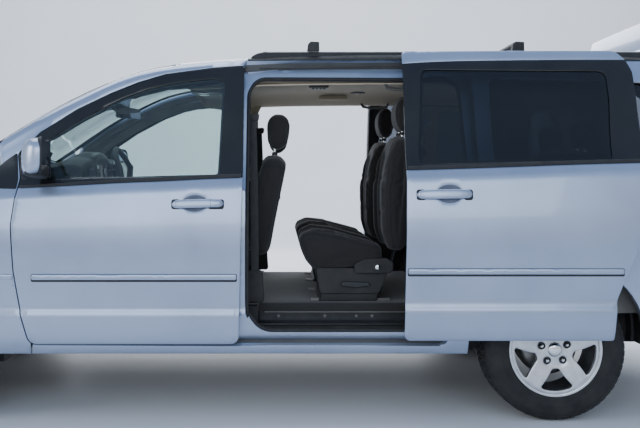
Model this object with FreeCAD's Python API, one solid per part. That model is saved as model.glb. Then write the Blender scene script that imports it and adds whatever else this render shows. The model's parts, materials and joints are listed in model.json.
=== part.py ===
import FreeCAD, Part
import math
import os
from FreeCAD import Vector

# Minivan, full size, in millimetres. +Z is up, the front faces -X and the left side faces -Y.
# The working coordinate u is the distance behind the front axle. The model is shifted by -X0 along X when it is written, so that
# the origin lies on the ground under the middle of the bounding box.

os.makedirs("parts", exist_ok=True)

# ---------------------------------------------------------------- driving dimensions
X0 = 1965.0                 # u of the origin
WHEELBASE = 3078.0
TRACK_F, TRACK_R = 1666.0, 1645.0
TYRE_R, TYRE_W, RIM_R = 340.0, 225.0, 219.0
WHEEL_Z = TYRE_R            # axle height
KING_Y = 690.0              # steering axis, half spacing
ARCH_R, ARCH_Z, ARCH_H = 419.0, 403.0, 372.0     # half length, centre and rise of the wheel openings
FRONT_U, REAR_U = -965.0, 4178.0
DOOR_T = 60.0               # thickness of the doors
WALL_T = 110.0              # thickness of the body side behind the doors
INNER_T = 70.0              # inset at which the fixed inner frame starts
GAP = 6.0                   # shut line
SLIDE = (764.0, -75.0, 35.0)  # how far the open sliding door stands back, out and up
GATE_OPEN = 85.0            # liftgate angle from closed
GATE_U, GATE_Z = 3748.0, 1768.0     # liftgate hinge axis
HOOD_U, HOOD_Z = 25.0, 1078.0       # hood hinge axis
DOOR_U, DOOR_Y = 508.0, 957.0       # front door hinge axis
FLOOR_Z = 525.0
SEAT_Y = 385.0              # half spacing of the seats

# ---------------------------------------------------------------- body sections
# Each row is one cross-section of the body at u. Columns, from the sill up and in to the centre line:
LEVELS = ("sill", "rocker", "crease_low", "crease_high", "moulding", "side", "shoulder", "belt", "glass_top", "roof_edge",
          "roof_turn", "roof_mid", "centre")
#      u      sill rocker crLo crHi moul side shou belt glTop rEdge rTurn rMid centre
HEIGHT = (
    (-965, 300, 330, 380, 400, 450, 490, 520, 545, 560, 570, 577, 585, 590),
    (-935, 250, 285, 370, 400, 480, 560, 610, 640, 655, 665, 672, 680, 684),
    (-870, 228, 270, 375, 410, 520, 640, 700, 735, 760, 775, 786, 806, 816),
    (-760, 222, 270, 385, 425, 560, 700, 775, 815, 842, 858, 870, 897, 908),
    (-560, 230, 285, 410, 455, 620, 780, 855, 892, 920, 936, 948, 974, 984),
    (-250, 270, 325, 460, 500, 680, 870, 935, 968, 992, 1006, 1016, 1038, 1046),
    (-80, 290, 342, 480, 516, 695, 908, 972, 1004, 1027, 1042, 1053, 1074, 1082),
    (60, 310, 358, 500, 532, 700, 938, 1040, 1085, 1098, 1108, 1130, 1166, 1178),
    (378, 322, 369, 509, 540, 700, 950, 1063, 1107, 1260, 1307, 1340, 1378, 1388),
    (716, 322, 369, 509, 540, 700, 950, 1080, 1124, 1455, 1517, 1545, 1580, 1592),
    (1055, 322, 369, 509, 540, 700, 950, 1098, 1142, 1605, 1672, 1692, 1722, 1733),
    (1190, 322, 369, 509, 540, 700, 950, 1103, 1147, 1638, 1703, 1720, 1748, 1758),
    (1434, 322, 369, 509, 540, 700, 950, 1115, 1159, 1665, 1733, 1748, 1770, 1779),
    (1909, 322, 369, 509, 540, 700, 950, 1130, 1174, 1690, 1762, 1774, 1790, 1796),
    (2500, 322, 369, 509, 541, 700, 950, 1151, 1195, 1695, 1768, 1780, 1795, 1800),
    (3300, 322, 369, 509, 541, 700, 950, 1168, 1212, 1690, 1762, 1774, 1789, 1795),
    (3745, 330, 375, 509, 541, 700, 950, 1176, 1220, 1672, 1742, 1755, 1768, 1773),
    (3935, 340, 385, 509, 540, 700, 950, 1178, 1222, 1640, 1680, 1690, 1697, 1700),
    (4040, 345, 390, 505, 535, 690, 900, 1080, 1140, 1215, 1240, 1255, 1275, 1283),
    (4095, 350, 392, 480, 510, 600, 700, 760, 800, 850, 880, 895, 915, 925),
    (4120, 355, 395, 460, 490, 545, 600, 640, 670, 700, 715, 725, 740, 745),
    (4160, 370, 400, 450, 475, 515, 550, 575, 592, 605, 613, 618, 625, 628),
    (4178, 400, 420, 455, 470, 500, 525, 545, 558, 567, 573, 577, 582, 584),
)
HALF_WIDTH = (
    (-965, 250, 270, 285, 288, 290, 288, 280, 265, 240, 210, 180, 90, 0),
    (-935, 500, 520, 540, 545, 548, 540, 528, 510, 480, 440, 390, 200, 0),
    (-870, 690, 715, 738, 742, 742, 722, 700, 675, 640, 590, 520, 270, 0),
    (-760, 790, 815, 840, 845, 846, 830, 808, 780, 742, 690, 610, 320, 0),
    (-560, 862, 885, 908, 912, 912, 900, 878, 848, 805, 745, 660, 340, 0),
    (-250, 890, 912, 938, 940, 938, 928, 905, 875, 830, 765, 680, 350, 0),
    (-80, 901, 924, 947, 947, 947, 940, 916, 886, 836, 768, 686, 350, 0),
    (60, 912, 934, 956, 952, 954, 949, 925, 897, 868, 825, 700, 360, 0),
    (378, 925, 948, 967, 956, 962, 955, 930, 905, 855, 838, 760, 400, 0),
    (716, 925, 948, 967, 956, 962, 955, 930, 905, 797, 772, 715, 400, 0),
    (1055, 925, 948, 967, 956, 962, 955, 930, 905, 755, 728, 680, 380, 0),
    (1190, 925, 948, 967, 956, 962, 955, 930, 905, 745, 716, 668, 370, 0),
    (1434, 925, 948, 967, 956, 962, 955, 930, 905, 740, 705, 655, 360, 0),
    (1909, 925, 948, 967, 956, 962, 955, 930, 905, 737, 700, 650, 350, 0),
    (2500, 925, 948, 967, 956, 962, 955, 930, 905, 742, 704, 653, 350, 0),
    (3300, 920, 944, 963, 953, 959, 952, 928, 903, 745, 706, 655, 350, 0),
    (3745, 908, 932, 950, 944, 946, 938, 912, 888, 740, 700, 650, 345, 0),
    (3935, 890, 912, 930, 926, 926, 918, 895, 868, 735, 690, 640, 340, 0),
    (4040, 860, 882, 900, 898, 898, 886, 865, 850, 810, 750, 680, 350, 0),
    (4095, 800, 822, 842, 842, 838, 820, 800, 775, 735, 680, 600, 310, 0),
    (4120, 740, 765, 790, 792, 790, 775, 755, 725, 680, 620, 540, 290, 0),
    (4160, 600, 630, 655, 658, 655, 640, 620, 595, 560, 510, 450, 240, 0),
    (4178, 400, 430, 450, 452, 450, 440, 425, 405, 380, 340, 300, 160, 0),
)
STATIONS = [r[0] for r in HEIGHT]

# Side outlines, as (u, z) corners. The sliding door is drawn closed.
FRONT_DOOR = ((584, 372), (545, 514), (510, 721), (496, 933), (508, 1060), (522, 1160), (500, 1289), (592, 1392), (765, 1510),
              (925, 1592), (1060, 1645), (1194, 1680), (1438, 1706), (1590, 1716), (1589, 1164), (1571, 372))
FRONT_GLASS = ((640, 1152), (1476, 1172), (1494, 1636), (1437, 1650), (1263, 1630), (1130, 1602), (1000, 1554), (806, 1453),
               (642, 1345))
FRONT_APERTURE = ((640, 440), (600, 520), (570, 721), (560, 933), (575, 1160), (580, 1320), (640, 1380), (785, 1470),
                  (935, 1550), (1065, 1600), (1200, 1636), (1438, 1660), (1535, 1668), (1540, 1164), (1525, 440))
SLIDING_DOOR = ((1580, 367), (2555, 367), (2567, 560), (2610, 669), (2657, 778), (2700, 900), (2722, 1060), (2722, 1195),
                (2712, 1640), (2690, 1710), (2640, 1748), (1600, 1748), (1597, 1164))
SLIDING_GLASS = ((1660, 1192), (2565, 1212), (2583, 1500), (2578, 1640), (1690, 1650))
SLIDING_APERTURE = ((1690, 440), (2480, 440), (2530, 640), (2610, 800), (2650, 950), (2660, 1190), (2640, 1620), (2610, 1660),
                    (1660, 1668), (1628, 1600), (1625, 1164), (1625, 520))
QUARTER_GLASS = ((2800, 1245), (3690, 1262), (3640, 1540), (3560, 1625), (2800, 1645))
# Liftgate outline seen from behind, as (y, z), and the same for its glass.
GATE = ((-640, 648), (-700, 760), (-735, 1000), (-735, 1200), (-690, 1500), (-640, 1680), (-632, 1800), (632, 1800), (640, 1680),
        (690, 1500), (735, 1200), (735, 1000), (700, 760), (640, 648))
GATE_GLASS = ((-640, 1190), (-585, 1600), (-560, 1650), (560, 1650), (585, 1600), (640, 1190))


# ---------------------------------------------------------------- helpers
def section(u):
    """The half section at u, as (y, z) from the sill to the centre line."""
    for i in range(len(STATIONS) - 1):
        if STATIONS[i] <= u <= STATIONS[i + 1]:
            f = (u - STATIONS[i]) / (STATIONS[i + 1] - STATIONS[i])
            mix = lambda t: [a + (b - a) * f for a, b in zip(t[i][1:], t[i + 1][1:])]
            return list(zip(mix(HALF_WIDTH), mix(HEIGHT)))
    raise ValueError(u)


def inset(points, t):
    """The half section moved inward by t, square to the surface."""
    out = []
    for i, (y, z) in enumerate(points):
        normals = []
        for a, b in ((i - 1, i), (i, i + 1)):
            if a >= 0 and b < len(points):
                dy, dz = points[b][0] - points[a][0], points[b][1] - points[a][1]
                n = math.hypot(dy, dz)
                normals.append((dz / n, -dy / n))
        if i == len(points) - 1 and y == 0:
            normals.append((-normals[0][0], normals[0][1]))
        ny = sum(n[0] for n in normals) / len(normals)
        nz = sum(n[1] for n in normals) / len(normals)
        k = ny * ny + nz * nz
        k = max(k, 0.6)
        out.append((y - t * ny / k, z - t * nz / k))
    return out


def cuts(u0, u1):
    return [u0] + [u for u in STATIONS if u0 + 1 < u < u1 - 1] + [u1]


def wire(points):
    return Part.makePolygon([Vector(*p) for p in points] + [Vector(*points[0])])


def loft(rings):
    return Part.makeLoft([wire(r) for r in rings], True, True)


def wall(u0, u1, t0, t1, low=0, high=12, side=-1):
    """One side of the body between two insets and two levels, from u0 to u1."""
    rings = []
    for u in cuts(u0, u1):
        s = section(u)
        a, b = inset(s, t0)[low:high + 1], inset(s, t1)[low:high + 1]
        rings.append([(u, side * y, z) for y, z in a + b[::-1]])
    return loft(rings)


def top(u0, u1, t0, t1, low=10):
    """The body's upper skin across the centre line, between two insets, from u0 to u1."""
    rings = []
    for u in cuts(u0, u1):
        s = section(u)
        a, b = inset(s, t0)[low:], inset(s, t1)[low:]
        over = [(u, -y, z) for y, z in a] + [(u, y, z) for y, z in a[-2::-1]]
        under = [(u, -y, z) for y, z in b] + [(u, y, z) for y, z in b[-2::-1]]
        rings.append(over + under[::-1])
    return loft(rings)


def hull(u0, u1, t=0.0, shift=0.0):
    """The whole body as a solid from u0 to u1, inset by t and moved along u by shift."""
    rings = []
    for u in cuts(u0, u1):
        s = inset(section(u), t)
        s = s[:-1] + [(0.0, s[-1][1])]
        rings.append([(u + shift, -y, z) for y, z in s] + [(u + shift, y, z) for y, z in s[-2::-1]])
    return loft(rings)


def side_prism(points, y0, y1):
    """A (u, z) outline pushed along Y from y0 to y1."""
    face = Part.Face(wire([(u, y0, z) for u, z in points]))
    return face.extrude(Vector(0, y1 - y0, 0))


def rear_prism(points, u0, u1):
    """A (y, z) outline pushed along X from u0 to u1."""
    face = Part.Face(wire([(u0, y, z) for y, z in points]))
    return face.extrude(Vector(u1 - u0, 0, 0))


def plan_prism(points, z0, z1):
    """A (u, y) outline pushed along Z from z0 to z1."""
    face = Part.Face(wire([(u, y, z0) for u, y in points]))
    return face.extrude(Vector(0, 0, z1 - z0))


def grow(points, d):
    """A closed outline with every side moved outward by d."""
    area = sum(a[0] * b[1] - b[0] * a[1] for a, b in zip(points, points[1:] + points[:1]))
    sgn = 1.0 if area > 0 else -1.0
    n = len(points)
    out = []
    for i in range(n):
        p, q, r = points[i - 1], points[i], points[(i + 1) % n]
        e1 = (q[0] - p[0], q[1] - p[1])
        e2 = (r[0] - q[0], r[1] - q[1])
        l1, l2 = math.hypot(*e1), math.hypot(*e2)
        n1 = (sgn * e1[1] / l1, -sgn * e1[0] / l1)
        n2 = (sgn * e2[1] / l2, -sgn * e2[0] / l2)
        m = (n1[0] + n2[0], n1[1] + n2[1])
        k = 2.0 / max(0.5, m[0] * m[0] + m[1] * m[1])
        out.append((q[0] + d * m[0] * k, q[1] + d * m[1] * k))
    return out


def box(u0, u1, y0, y1, z0, z1):
    return Part.makeBox(u1 - u0, y1 - y0, z1 - z0, Vector(u0, y0, z0))


def both(u0, u1, y0, y1, z0, z1):
    """A box on the left and its mirror image on the right, as a list."""
    return [box(u0, u1, -y1, -y0, z0, z1), box(u0, u1, y0, y1, z0, z1)]


def rod(a, b, r):
    a, b = Vector(*a), Vector(*b)
    return Part.makeCylinder(r, (b - a).Length, a, b - a)


def across(u, z, y0, y1, r):
    """A cylinder along Y."""
    return Part.makeCylinder(r, y1 - y0, Vector(u, y0, z), Vector(0, 1, 0))


def upright(u, y, z0, z1, r):
    return Part.makeCylinder(r, z1 - z0, Vector(u, y, z0), Vector(0, 0, 1))


def fuse(shapes):
    out = shapes[0]
    return out.multiFuse(shapes[1:]).removeSplitter() if len(shapes) > 1 else out


def minus(shape, tools):
    """The shape with each tool cut away in turn."""
    for t in tools:
        r = shape.cut(t)
        if r.Volume > 0:
            shape = r
    return shape


def flip(shape):
    """The mirror image on the other side of the van."""
    return shape.mirror(Vector(0, 0, 0), Vector(0, 1, 0))


def moved(shape, d):
    s = shape.copy()
    s.translate(Vector(*d))
    return s


def turned(shape, u, z, degrees):
    """The shape turned about the line along Y through (u, z)."""
    s = shape.copy()
    s.rotate(Vector(u, 0, z), Vector(0, 1, 0), degrees)
    return s


def arch_prism(u):
    """The opening over a wheel on the left: an oval above the axle, open downward."""
    ring = [(u + ARCH_R * math.cos(math.pi * k / 20), ARCH_Z + ARCH_H * math.sin(math.pi * k / 20)) for k in range(21)]
    return side_prism([(u - ARCH_R + 6, 100), (u + ARCH_R - 6, 100)] + ring, -1100, -600)


NODES = {}


def put(name, shapes):
    """Keeps a node's solids, shifted to the model's origin."""
    if not isinstance(shapes, (list, tuple)):
        shapes = [shapes]
    solids = []
    for s in shapes:
        solids += [x for x in s.Solids if x.Volume > 500]
    out = solids[0] if len(solids) == 1 else Part.makeCompound(solids)
    out = moved(out, (-X0, 0, 0))
    NODES[name] = out
    out.exportStep("parts/%s.step" % name)


# ---------------------------------------------------------------- body side
SHIELD_PLAN = ((-60, -330), (14, -560), (75, -800), (378, -800), (716, -722), (1055, -676), (1200, -655),
               (1236, -640), (1206, -490), (1172, -245), (1160, 0), (1172, 245), (1206, 490), (1236, 640),
               (1200, 655), (1055, 676), (716, 722), (378, 800), (75, 800), (14, 560), (-60, 330),
               (-72, 0))
shield_room = plan_prism(grow(list(SHIELD_PLAN), 4), 880, 2000)
SIDE_U0, SIDE_U1 = 462.0, 4040.0
arch_rear = arch_prism(WHEELBASE)
arch_front = arch_prism(0)
door_holes = wall(440, 2800, -5, INNER_T - 4).common(
    side_prism(grow(list(FRONT_DOOR), GAP), -1100, -400).fuse(side_prism(grow(list(SLIDING_DOOR), GAP), -1100, -400)))
side = wall(SIDE_U0, SIDE_U1, 0, WALL_T, 0, 10)
side = minus(side, [
    door_holes,
    side_prism(FRONT_APERTURE, -1100, -400), side_prism(SLIDING_APERTURE, -1100, -400),
    side_prism(QUARTER_GLASS, -1100, -400), arch_rear,
    box(3600, 4100, -1100, -500, 0, 640),                       # the rear bumper's corner
    rear_prism(grow(list(GATE), 8), GATE_U - 60, 4300).common(box(3735, 4300, -900, 900, 600, 2000)),
    side_prism(((3905, 900), (4200, 900), (4200, 1300), (3925, 1300)), -1100, -690),      # the tail light
    side_prism(((3800, 600), (3800, 648), (4300, 648), (4300, 600)), -1100, -500),
    shield_room, upright(DOOR_U, -DOOR_Y, 650, 702, 4.0),
])
# the slot that holds the quarter glass
slot3 = wall(2700, 3800, 8, 15).common(side_prism(grow(list(QUARTER_GLASS), 16), -1100, -400))
side = side.cut(slot3)
side_solids = sorted(side.Solids, key=lambda s: -s.Volume)
left_side = side_solids[0]
put("left_body_side", left_side)
put("right_body_side", flip(left_side))
quarter = wall(2700, 3800, 9, 14).common(side_prism(grow(list(QUARTER_GLASS), 15), -1100, -400))
put("quarter_windows", [quarter, flip(quarter)])

# ---------------------------------------------------------------- roof and headliner
ROOF_U0 = 1190.0
roof = top(1100, GATE_U - 5, 0, 40, 10)
roof = roof.cut(plan_prism(((1000, -900), (1262, -900), (1250, -640), (1217, -490), (1181, -250), (1169, 0), (1181, 250), (1217, 490),
                            (1250, 640), (1262, 900), (1000, 900)), 1500, 2000))
lugs = [box(GATE_U - 45, GATE_U - 3, s * 250 - 28, s * 250 + 28, GATE_Z - 20, GATE_Z - 3) for s in (-1, 1)]
pins = [across(GATE_U, GATE_Z, s * 250 - 28, s * 250 + 28, 5) for s in (-1, 1)]
roof = fuse([roof] + pins + lugs)
put("roof", roof)
liner = top(1280, GATE_U - 40, 46, 58, 10).common(box(1200, 3800, -628, 628, 1500, 1900))
put("headliner", liner)

# ---------------------------------------------------------------- windshield
shield = top(-80, 1262, 4, 10, 9)
shield = shield.common(plan_prism(SHIELD_PLAN, 900, 2000))
put("windshield", shield)

# ---------------------------------------------------------------- front doors
door1 = wall(440, 1700, 0, DOOR_T, 0, 9).common(side_prism(FRONT_DOOR, -1100, -400))
door1 = minus(door1, [side_prism(FRONT_GLASS, -1100, -400),
                   wall(500, 1600, 8, 15).common(side_prism(grow(list(FRONT_GLASS), 16), -1100, -400))])
pin_cut = [upright(DOOR_U, -DOOR_Y, 640, 712, 9.5)]
pins = [upright(DOOR_U, -DOOR_Y, 650, 702, 4.0)]
door1 = sorted(door1.cut(pin_cut).Solids, key=lambda s: -s.Volume)[0]
put("left_front_door", door1)
put("right_front_door", flip(door1))
glass1 = wall(500, 1600, 9, 14).common(side_prism(grow(list(FRONT_GLASS), 15), -1100, -400))
put("left_front_window", glass1)
put("right_front_window", flip(glass1))

# ---------------------------------------------------------------- sliding doors, standing open
door2 = wall(1500, 2800, 0, DOOR_T, 0, 9).common(side_prism(SLIDING_DOOR, -1100, -400))
door2 = minus(door2, [side_prism(SLIDING_GLASS, -1100, -400),
                   wall(1600, 2700, 8, 15).common(side_prism(grow(list(SLIDING_GLASS), 16), -1100, -400))])
door2 = moved(sorted(door2.Solids, key=lambda s: -s.Volume)[0], SLIDE)
put("left_sliding_door", door2)
put("right_sliding_door", flip(door2))
glass2 = moved(wall(1600, 2700, 9, 14).common(side_prism(grow(list(SLIDING_GLASS), 15), -1100, -400)), SLIDE)
put("sliding_door_windows", [glass2, flip(glass2)])

# ---------------------------------------------------------------- front end
nose = hull(FRONT_U, -380).cut(hull(FRONT_U, -380, 35, 40))
HOOD_PLAN = ((-1000, -470), (-860, -560), (-760, -625), (-560, -675), (-250, -692), (5, -684), (-38, -450), (-82, -220),
             (-96, 0), (-82, 220), (-38, 450), (5, 684), (-250, 692), (-560, 675), (-760, 625), (-860, 560), (-1000, 470))
upper = hull(-900, 60).cut(hull(-900, 60, 28, 25).fuse(box(-1000, 100, -1000, 1000, 0, 600)))
hood = upper.common(plan_prism(HOOD_PLAN, 700, 1300)).common(
    side_prism(((-900, 802), (-800, 802), (60, 802), (60, 1300), (-900, 1300)), -1000, 1000))
hood = sorted(hood.Solids, key=lambda s: -s.Volume)[0]
arms = [side_prism(((-75, 1004), (-75, 1030), (-30, 1052), (12, 1087), (38, 1087), (38, 1068), (12, 1068)), s * 608 - 5, s * 608 + 5).cut(
    across(HOOD_U, HOOD_Z, s * 608 - 20, s * 608 + 20, 5.4)) for s in (-1, 1)]
hood = sorted(fuse([hood] + arms).Solids, key=lambda s: -s.Volume)[0]
put("hood", hood)
hood_room = plan_prism(grow(list(HOOD_PLAN), 7), 700, 1300).common(
    side_prism(((-1000, 795), (100, 795), (100, 1300), (-1000, 1300)), -1000, 1000))
BUMPER_SIDE = ((-1100, 100), (-1100, 640), (-880, 640), (-620, 688), (-560, 650), (-395, 560), (-395, 100))
LAMP_SIDE = ((-960, 648), (-620, 698), (-530, 775), (-520, 850), (-600, 868), (-870, 800), (-960, 760))
bumper = nose.common(side_prism(BUMPER_SIDE, -1000, 1000)).cut(
    [arch_front, flip(arch_front), rear_prism(((-410, 316), (-452, 426), (452, 426), (410, 316)), -1100, -850),
     box(-840, -380, -600, 600, 100, 400)] +
    [Part.makeCylinder(3.5, 140, Vector(-1000, s * 88.9, 513 + t * 60.325), Vector(1, 0, 0)) for s in (-1, 1) for t in (-1, 1)])
put("front_bumper", sorted(bumper.Solids, key=lambda s: -s.Volume)[0])
lamp_band = side_prism(LAMP_SIDE, -1000, 1000).cut(box(-1100, -300, -432, 432, 0, 1200))
lamps = nose.common(lamp_band).cut(hood_room)
lamp_solids = sorted(lamps.Solids, key=lambda s: -s.Volume)[:2]
put("headlights", lamp_solids)
grille = hull(FRONT_U, -700, 6, 6).cut(hull(FRONT_U, -700, 26, 32)).common(
    side_prism(((-1100, 649), (-700, 656), (-700, 790), (-1100, 790)), -424, 424)).cut(hood_room)
put("grille", sorted(grille.Solids, key=lambda s: -s.Volume)[0])

# Fenders: from the lamps back to the door, with the base of the pillar.
fender = fuse([wall(-620, -380, 0, 30, 0, 12), wall(-380, 590, 0, 30, 0, 12)])
fender = minus(fender, [
    side_prism(grow(list(BUMPER_SIDE), 3), -1100, -100), side_prism(grow(list(LAMP_SIDE), 3), -1100, -100), arch_front,
    side_prism(grow(list(FRONT_DOOR), GAP), -1100, -400), hood_room,
    side_prism(((440, 0), (SIDE_U0 - 2, 0), (SIDE_U0 - 2, 1125), (600, 1125), (600, 0)), -1100, -100),
    plan_prism(((-100, 10), (-100, -330), (-10, -520), (40, -700), (62, -812), (378, -812), (600, -770), (700, -700),
                (700, 10)), 900, 2000),
    upright(DOOR_U, -DOOR_Y, 640, 712, 4.5),
    box(440, 700, -1100, -100, 1123, 2000), shield_room, box(-140, 100, -692, 0, 900, 1300),
])
fender = sorted(fender.Solids, key=lambda s: -s.Volume)[0]
put("front_fenders", [fender, flip(fender)])

# Cowl, bulkhead and the front wheel liners.
cowl = top(-80, 110, 24, 40, 9).fuse(box(-60, 100, -640, 640, 960, 990))
cowl = box(40, 110, -690, 690, 960, 1060)
bulkhead = box(476, 492, -770, 770, 345, 1015)
shelf = box(100, 480, -690, 690, 1000, 1020)
liners = []
for s in (-1, 1):
    y0, y1 = (-905, -540) if s < 0 else (540, 905)
    ring = across(0, 380, y0, y1, 466).cut(across(0, 380, y0 - 1, y1 + 1, 456))
    ring = ring.common(box(-600, 456, -1000, 1000, 330, 900)).cut(box(-600, 600, -1000, 1000, 100, 330))
    inner = across(0, 380, -548 if s < 0 else 540, -540 if s < 0 else 548, 466).common(
        box(-600, 600, -1000, 1000, 560, 900))
    liners.append(fuse([ring, inner]).cut(upright(0, s * KING_Y, 600, 900, 78)))
hinges = []
for s in (-1, 1):
    for d in (-12, 12):
        hinges.append(box(17, 60, s * 608 + d - 5, s * 608 + d + 5, 1030, 1086))
    hinges.append(across(HOOD_U, HOOD_Z, s * 608 - 15, s * 608 + 15, 5))
put("cowl_and_bulkhead", [fuse([cowl, shelf, bulkhead] + hinges)] + [
    x.cut(hull(-560, 560, -80).cut(hull(-560, 560, 39))) for x in liners])

# ---------------------------------------------------------------- rear bumper and lamps
tail = hull(3600, REAR_U).cut(hull(3500, REAR_U, 34, -40))
rear_bumper = tail.common(side_prism(((3500, 100), (3500, 634), (4300, 634), (4300, 100)), -1000, 1000)).cut(
    [box(3400, 3606, -1000, 1000, 0, 700), box(3500, 4037, -796, 796, 100, 700)])
put("rear_bumper", sorted(rear_bumper.Solids, key=lambda s: -s.Volume)[0])
tail_zone = hull(3890, 4120, 1).cut(hull(3880, 4100, 34, -20))
lamp_zone = side_prism(((3909, 905), (4200, 905), (4200, 1296), (3928, 1296)), -1000, 1000).cut(
    rear_prism(grow(list(GATE), 10), 3700, 4300))
tails = tail_zone.common(lamp_zone)
tail_solids = sorted(tails.Solids, key=lambda s: -s.Volume)[:2]
put("tail_lights", tail_solids)

# ---------------------------------------------------------------- liftgate, modelled closed and then raised
gate = hull(3700, 4110).cut(hull(3600, 4110, 46, -38))
gate = gate.common(rear_prism(GATE, GATE_U + 11, 4300))
gate = minus(gate, [rear_prism(GATE_GLASS, 3800, 4300).common(box(3840, 4300, -700, 700, 1180, 1660))])
spoiler_rings = []
for y in (-600, -300, 300, 600):
    drop = 10 if abs(y) > 400 else 0
    spoiler_rings.append([(3850, y, 1748 - drop), (3990, y, GATE_Z - 6 - drop), (4010, y, GATE_Z - 14 - drop), (4006, y, 1738 - drop),
                          (3930, y, 1690 - drop), (3850, y, 1700 - drop)])
spoiler = loft(spoiler_rings)
gate = fuse([sorted(gate.Solids, key=lambda s: -s.Volume)[0], spoiler])
gate = sorted(gate.Solids, key=lambda s: -s.Volume)[0]
# The inner edge of the gate is stepped, so that it swings past the rear pillars.
gate = gate.cut(hull(3600, 4110, 20, -18).cut(rear_prism(grow(list(GATE), -16), 3500, 4300)))
gate = sorted(gate.Solids, key=lambda s: -s.Volume)[0]
gate_glass = hull(3800, 4110, 4).cut(hull(3700, 4110, 10, -6)).common(
    rear_prism(grow(list(GATE_GLASS), -2), 3840, 4300)).common(box(3850, 4300, -700, 700, 1182, 1658))
gate_glass = sorted(gate_glass.Solids, key=lambda s: -s.Volume)[0]
put("liftgate", turned(gate, GATE_U, GATE_Z, -GATE_OPEN))
put("liftgate_window", turned(gate_glass, GATE_U, GATE_Z, -GATE_OPEN))

# ---------------------------------------------------------------- mirrors
mirror = loft([[(600, -950, 1172), (672, -950, 1170), (682, -950, 1290), (612, -950, 1300)],
               [(567, -1010, 1160), (664, -1010, 1160), (672, -1010, 1346), (592, -1010, 1351)],
               [(577, -1105, 1167), (664, -1105, 1167), (672, -1105, 1341), (602, -1105, 1344)],
               [(614, -1122, 1195), (660, -1122, 1195), (664, -1122, 1314), (622, -1122, 1316)]])
arm = box(606, 670, -960, -880, 1158, 1226)
mirror = fuse([mirror, arm]).cut(wall(440, 800, -1.0, 200))
mirror = sorted(mirror.Solids, key=lambda s: -s.Volume)[0]
put("left_mirror", mirror)
put("right_mirror", flip(mirror))

# ---------------------------------------------------------------- floor
floor = box(500, 4030, -800, 800, 330, FLOOR_Z)
floor = minus(floor, [box(2600, 3560, -1000, -664, 300, 600), box(2600, 3560, 664, 1000, 300, 600)])
trays = both(1660, 2500, 780, 832, 418, 440)
wells = both(1660, 2500, 700, 900, 440, 600)
houses = []
for s in (-1, 1):
    a, b = (-812, -664) if s < 0 else (664, 812)
    outer = across(WHEELBASE, ARCH_Z, a, b, ARCH_R + 26)
    c, d = (-900, -676) if s < 0 else (676, 900)
    inner = across(WHEELBASE, ARCH_Z, c, d, ARCH_R + 14)
    houses.append(minus(outer, [inner, box(2500, 3700, -1000, 1000, 0, 345)]))
floor = fuse([floor.cut(wells)] + trays + houses)
floor = minus(floor, [across(WHEELBASE, ARCH_Z, -900, -676, ARCH_R + 14), across(WHEELBASE, ARCH_Z, 676, 900, ARCH_R + 14),
                   box(3500, 4200, -900, -745, 300, 600), box(3500, 4200, 745, 900, 300, 600),
                   box(2540, 3240, -700, 700, 300, 396), box(3440, 4000, 300, 700, 300, 352)])
put("floor_pan", sorted(floor.Solids, key=lambda s: -s.Volume)[0])

# ---------------------------------------------------------------- dashboard, column, inner mirror
dash = side_prism(((500, 1060), (560, 1150), (820, 1150), (860, 1080), (850, 960), (780, 900), (700, 620), (640, 560), (500, 600)),
                  -745, 745)
dash = dash.fuse(side_prism(((420, 1040), (430, 1120), (560, 1206), (640, 1246), (720, 1284), (806, 1284), (826, 1230), (850, 1100),
                             (850, 1040)), -690, 690))
WHEEL_U, WHEEL_Y, WHEEL_C, WHEEL_TILT = 960.0, -370.0, 1150.0, 25.0
tilt = math.radians(WHEEL_TILT)
axle = (math.cos(tilt), 0.0, math.sin(tilt))           # from the dashboard up to the driver
column_end = (WHEEL_U - 42 * axle[0], WHEEL_Y, WHEEL_C - 42 * axle[2])
column = rod((WHEEL_U - 240 * axle[0], WHEEL_Y, WHEEL_C - 240 * axle[2]), column_end, 34)
put("dashboard", [fuse([dash, column])])
hub = rod((WHEEL_U - 34 * axle[0], WHEEL_Y, WHEEL_C - 34 * axle[2]), (WHEEL_U + 4 * axle[0], WHEEL_Y, WHEEL_C + 4 * axle[2]), 70)
ring = Part.makeTorus(178, 15, Vector(WHEEL_U, WHEEL_Y, WHEEL_C), Vector(*axle))
spokes = []
for a in (0, 180, 250, 290):
    r = math.radians(a)
    e1, e2 = Vector(0, 1, 0), Vector(-math.sin(tilt), 0, math.cos(tilt))
    d = e1 * math.cos(r) + e2 * math.sin(r)
    c = Vector(WHEEL_U, WHEEL_Y, WHEEL_C) - Vector(*axle) * 10
    spokes.append(Part.makeCylinder(12, 120, c + d * 58, d))
put("steering_wheel", fuse([hub, ring] + spokes))
inner_mirror = box(870, 900, -118, 118, 1498, 1562)
inner_mirror.rotate(Vector(885, 0, 1530), Vector(0, 0, 1), -25)
stalk = rod((838, 0, 1618), (882, 0, 1534), 8)
put("inner_mirror", fuse([inner_mirror, stalk]))


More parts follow.
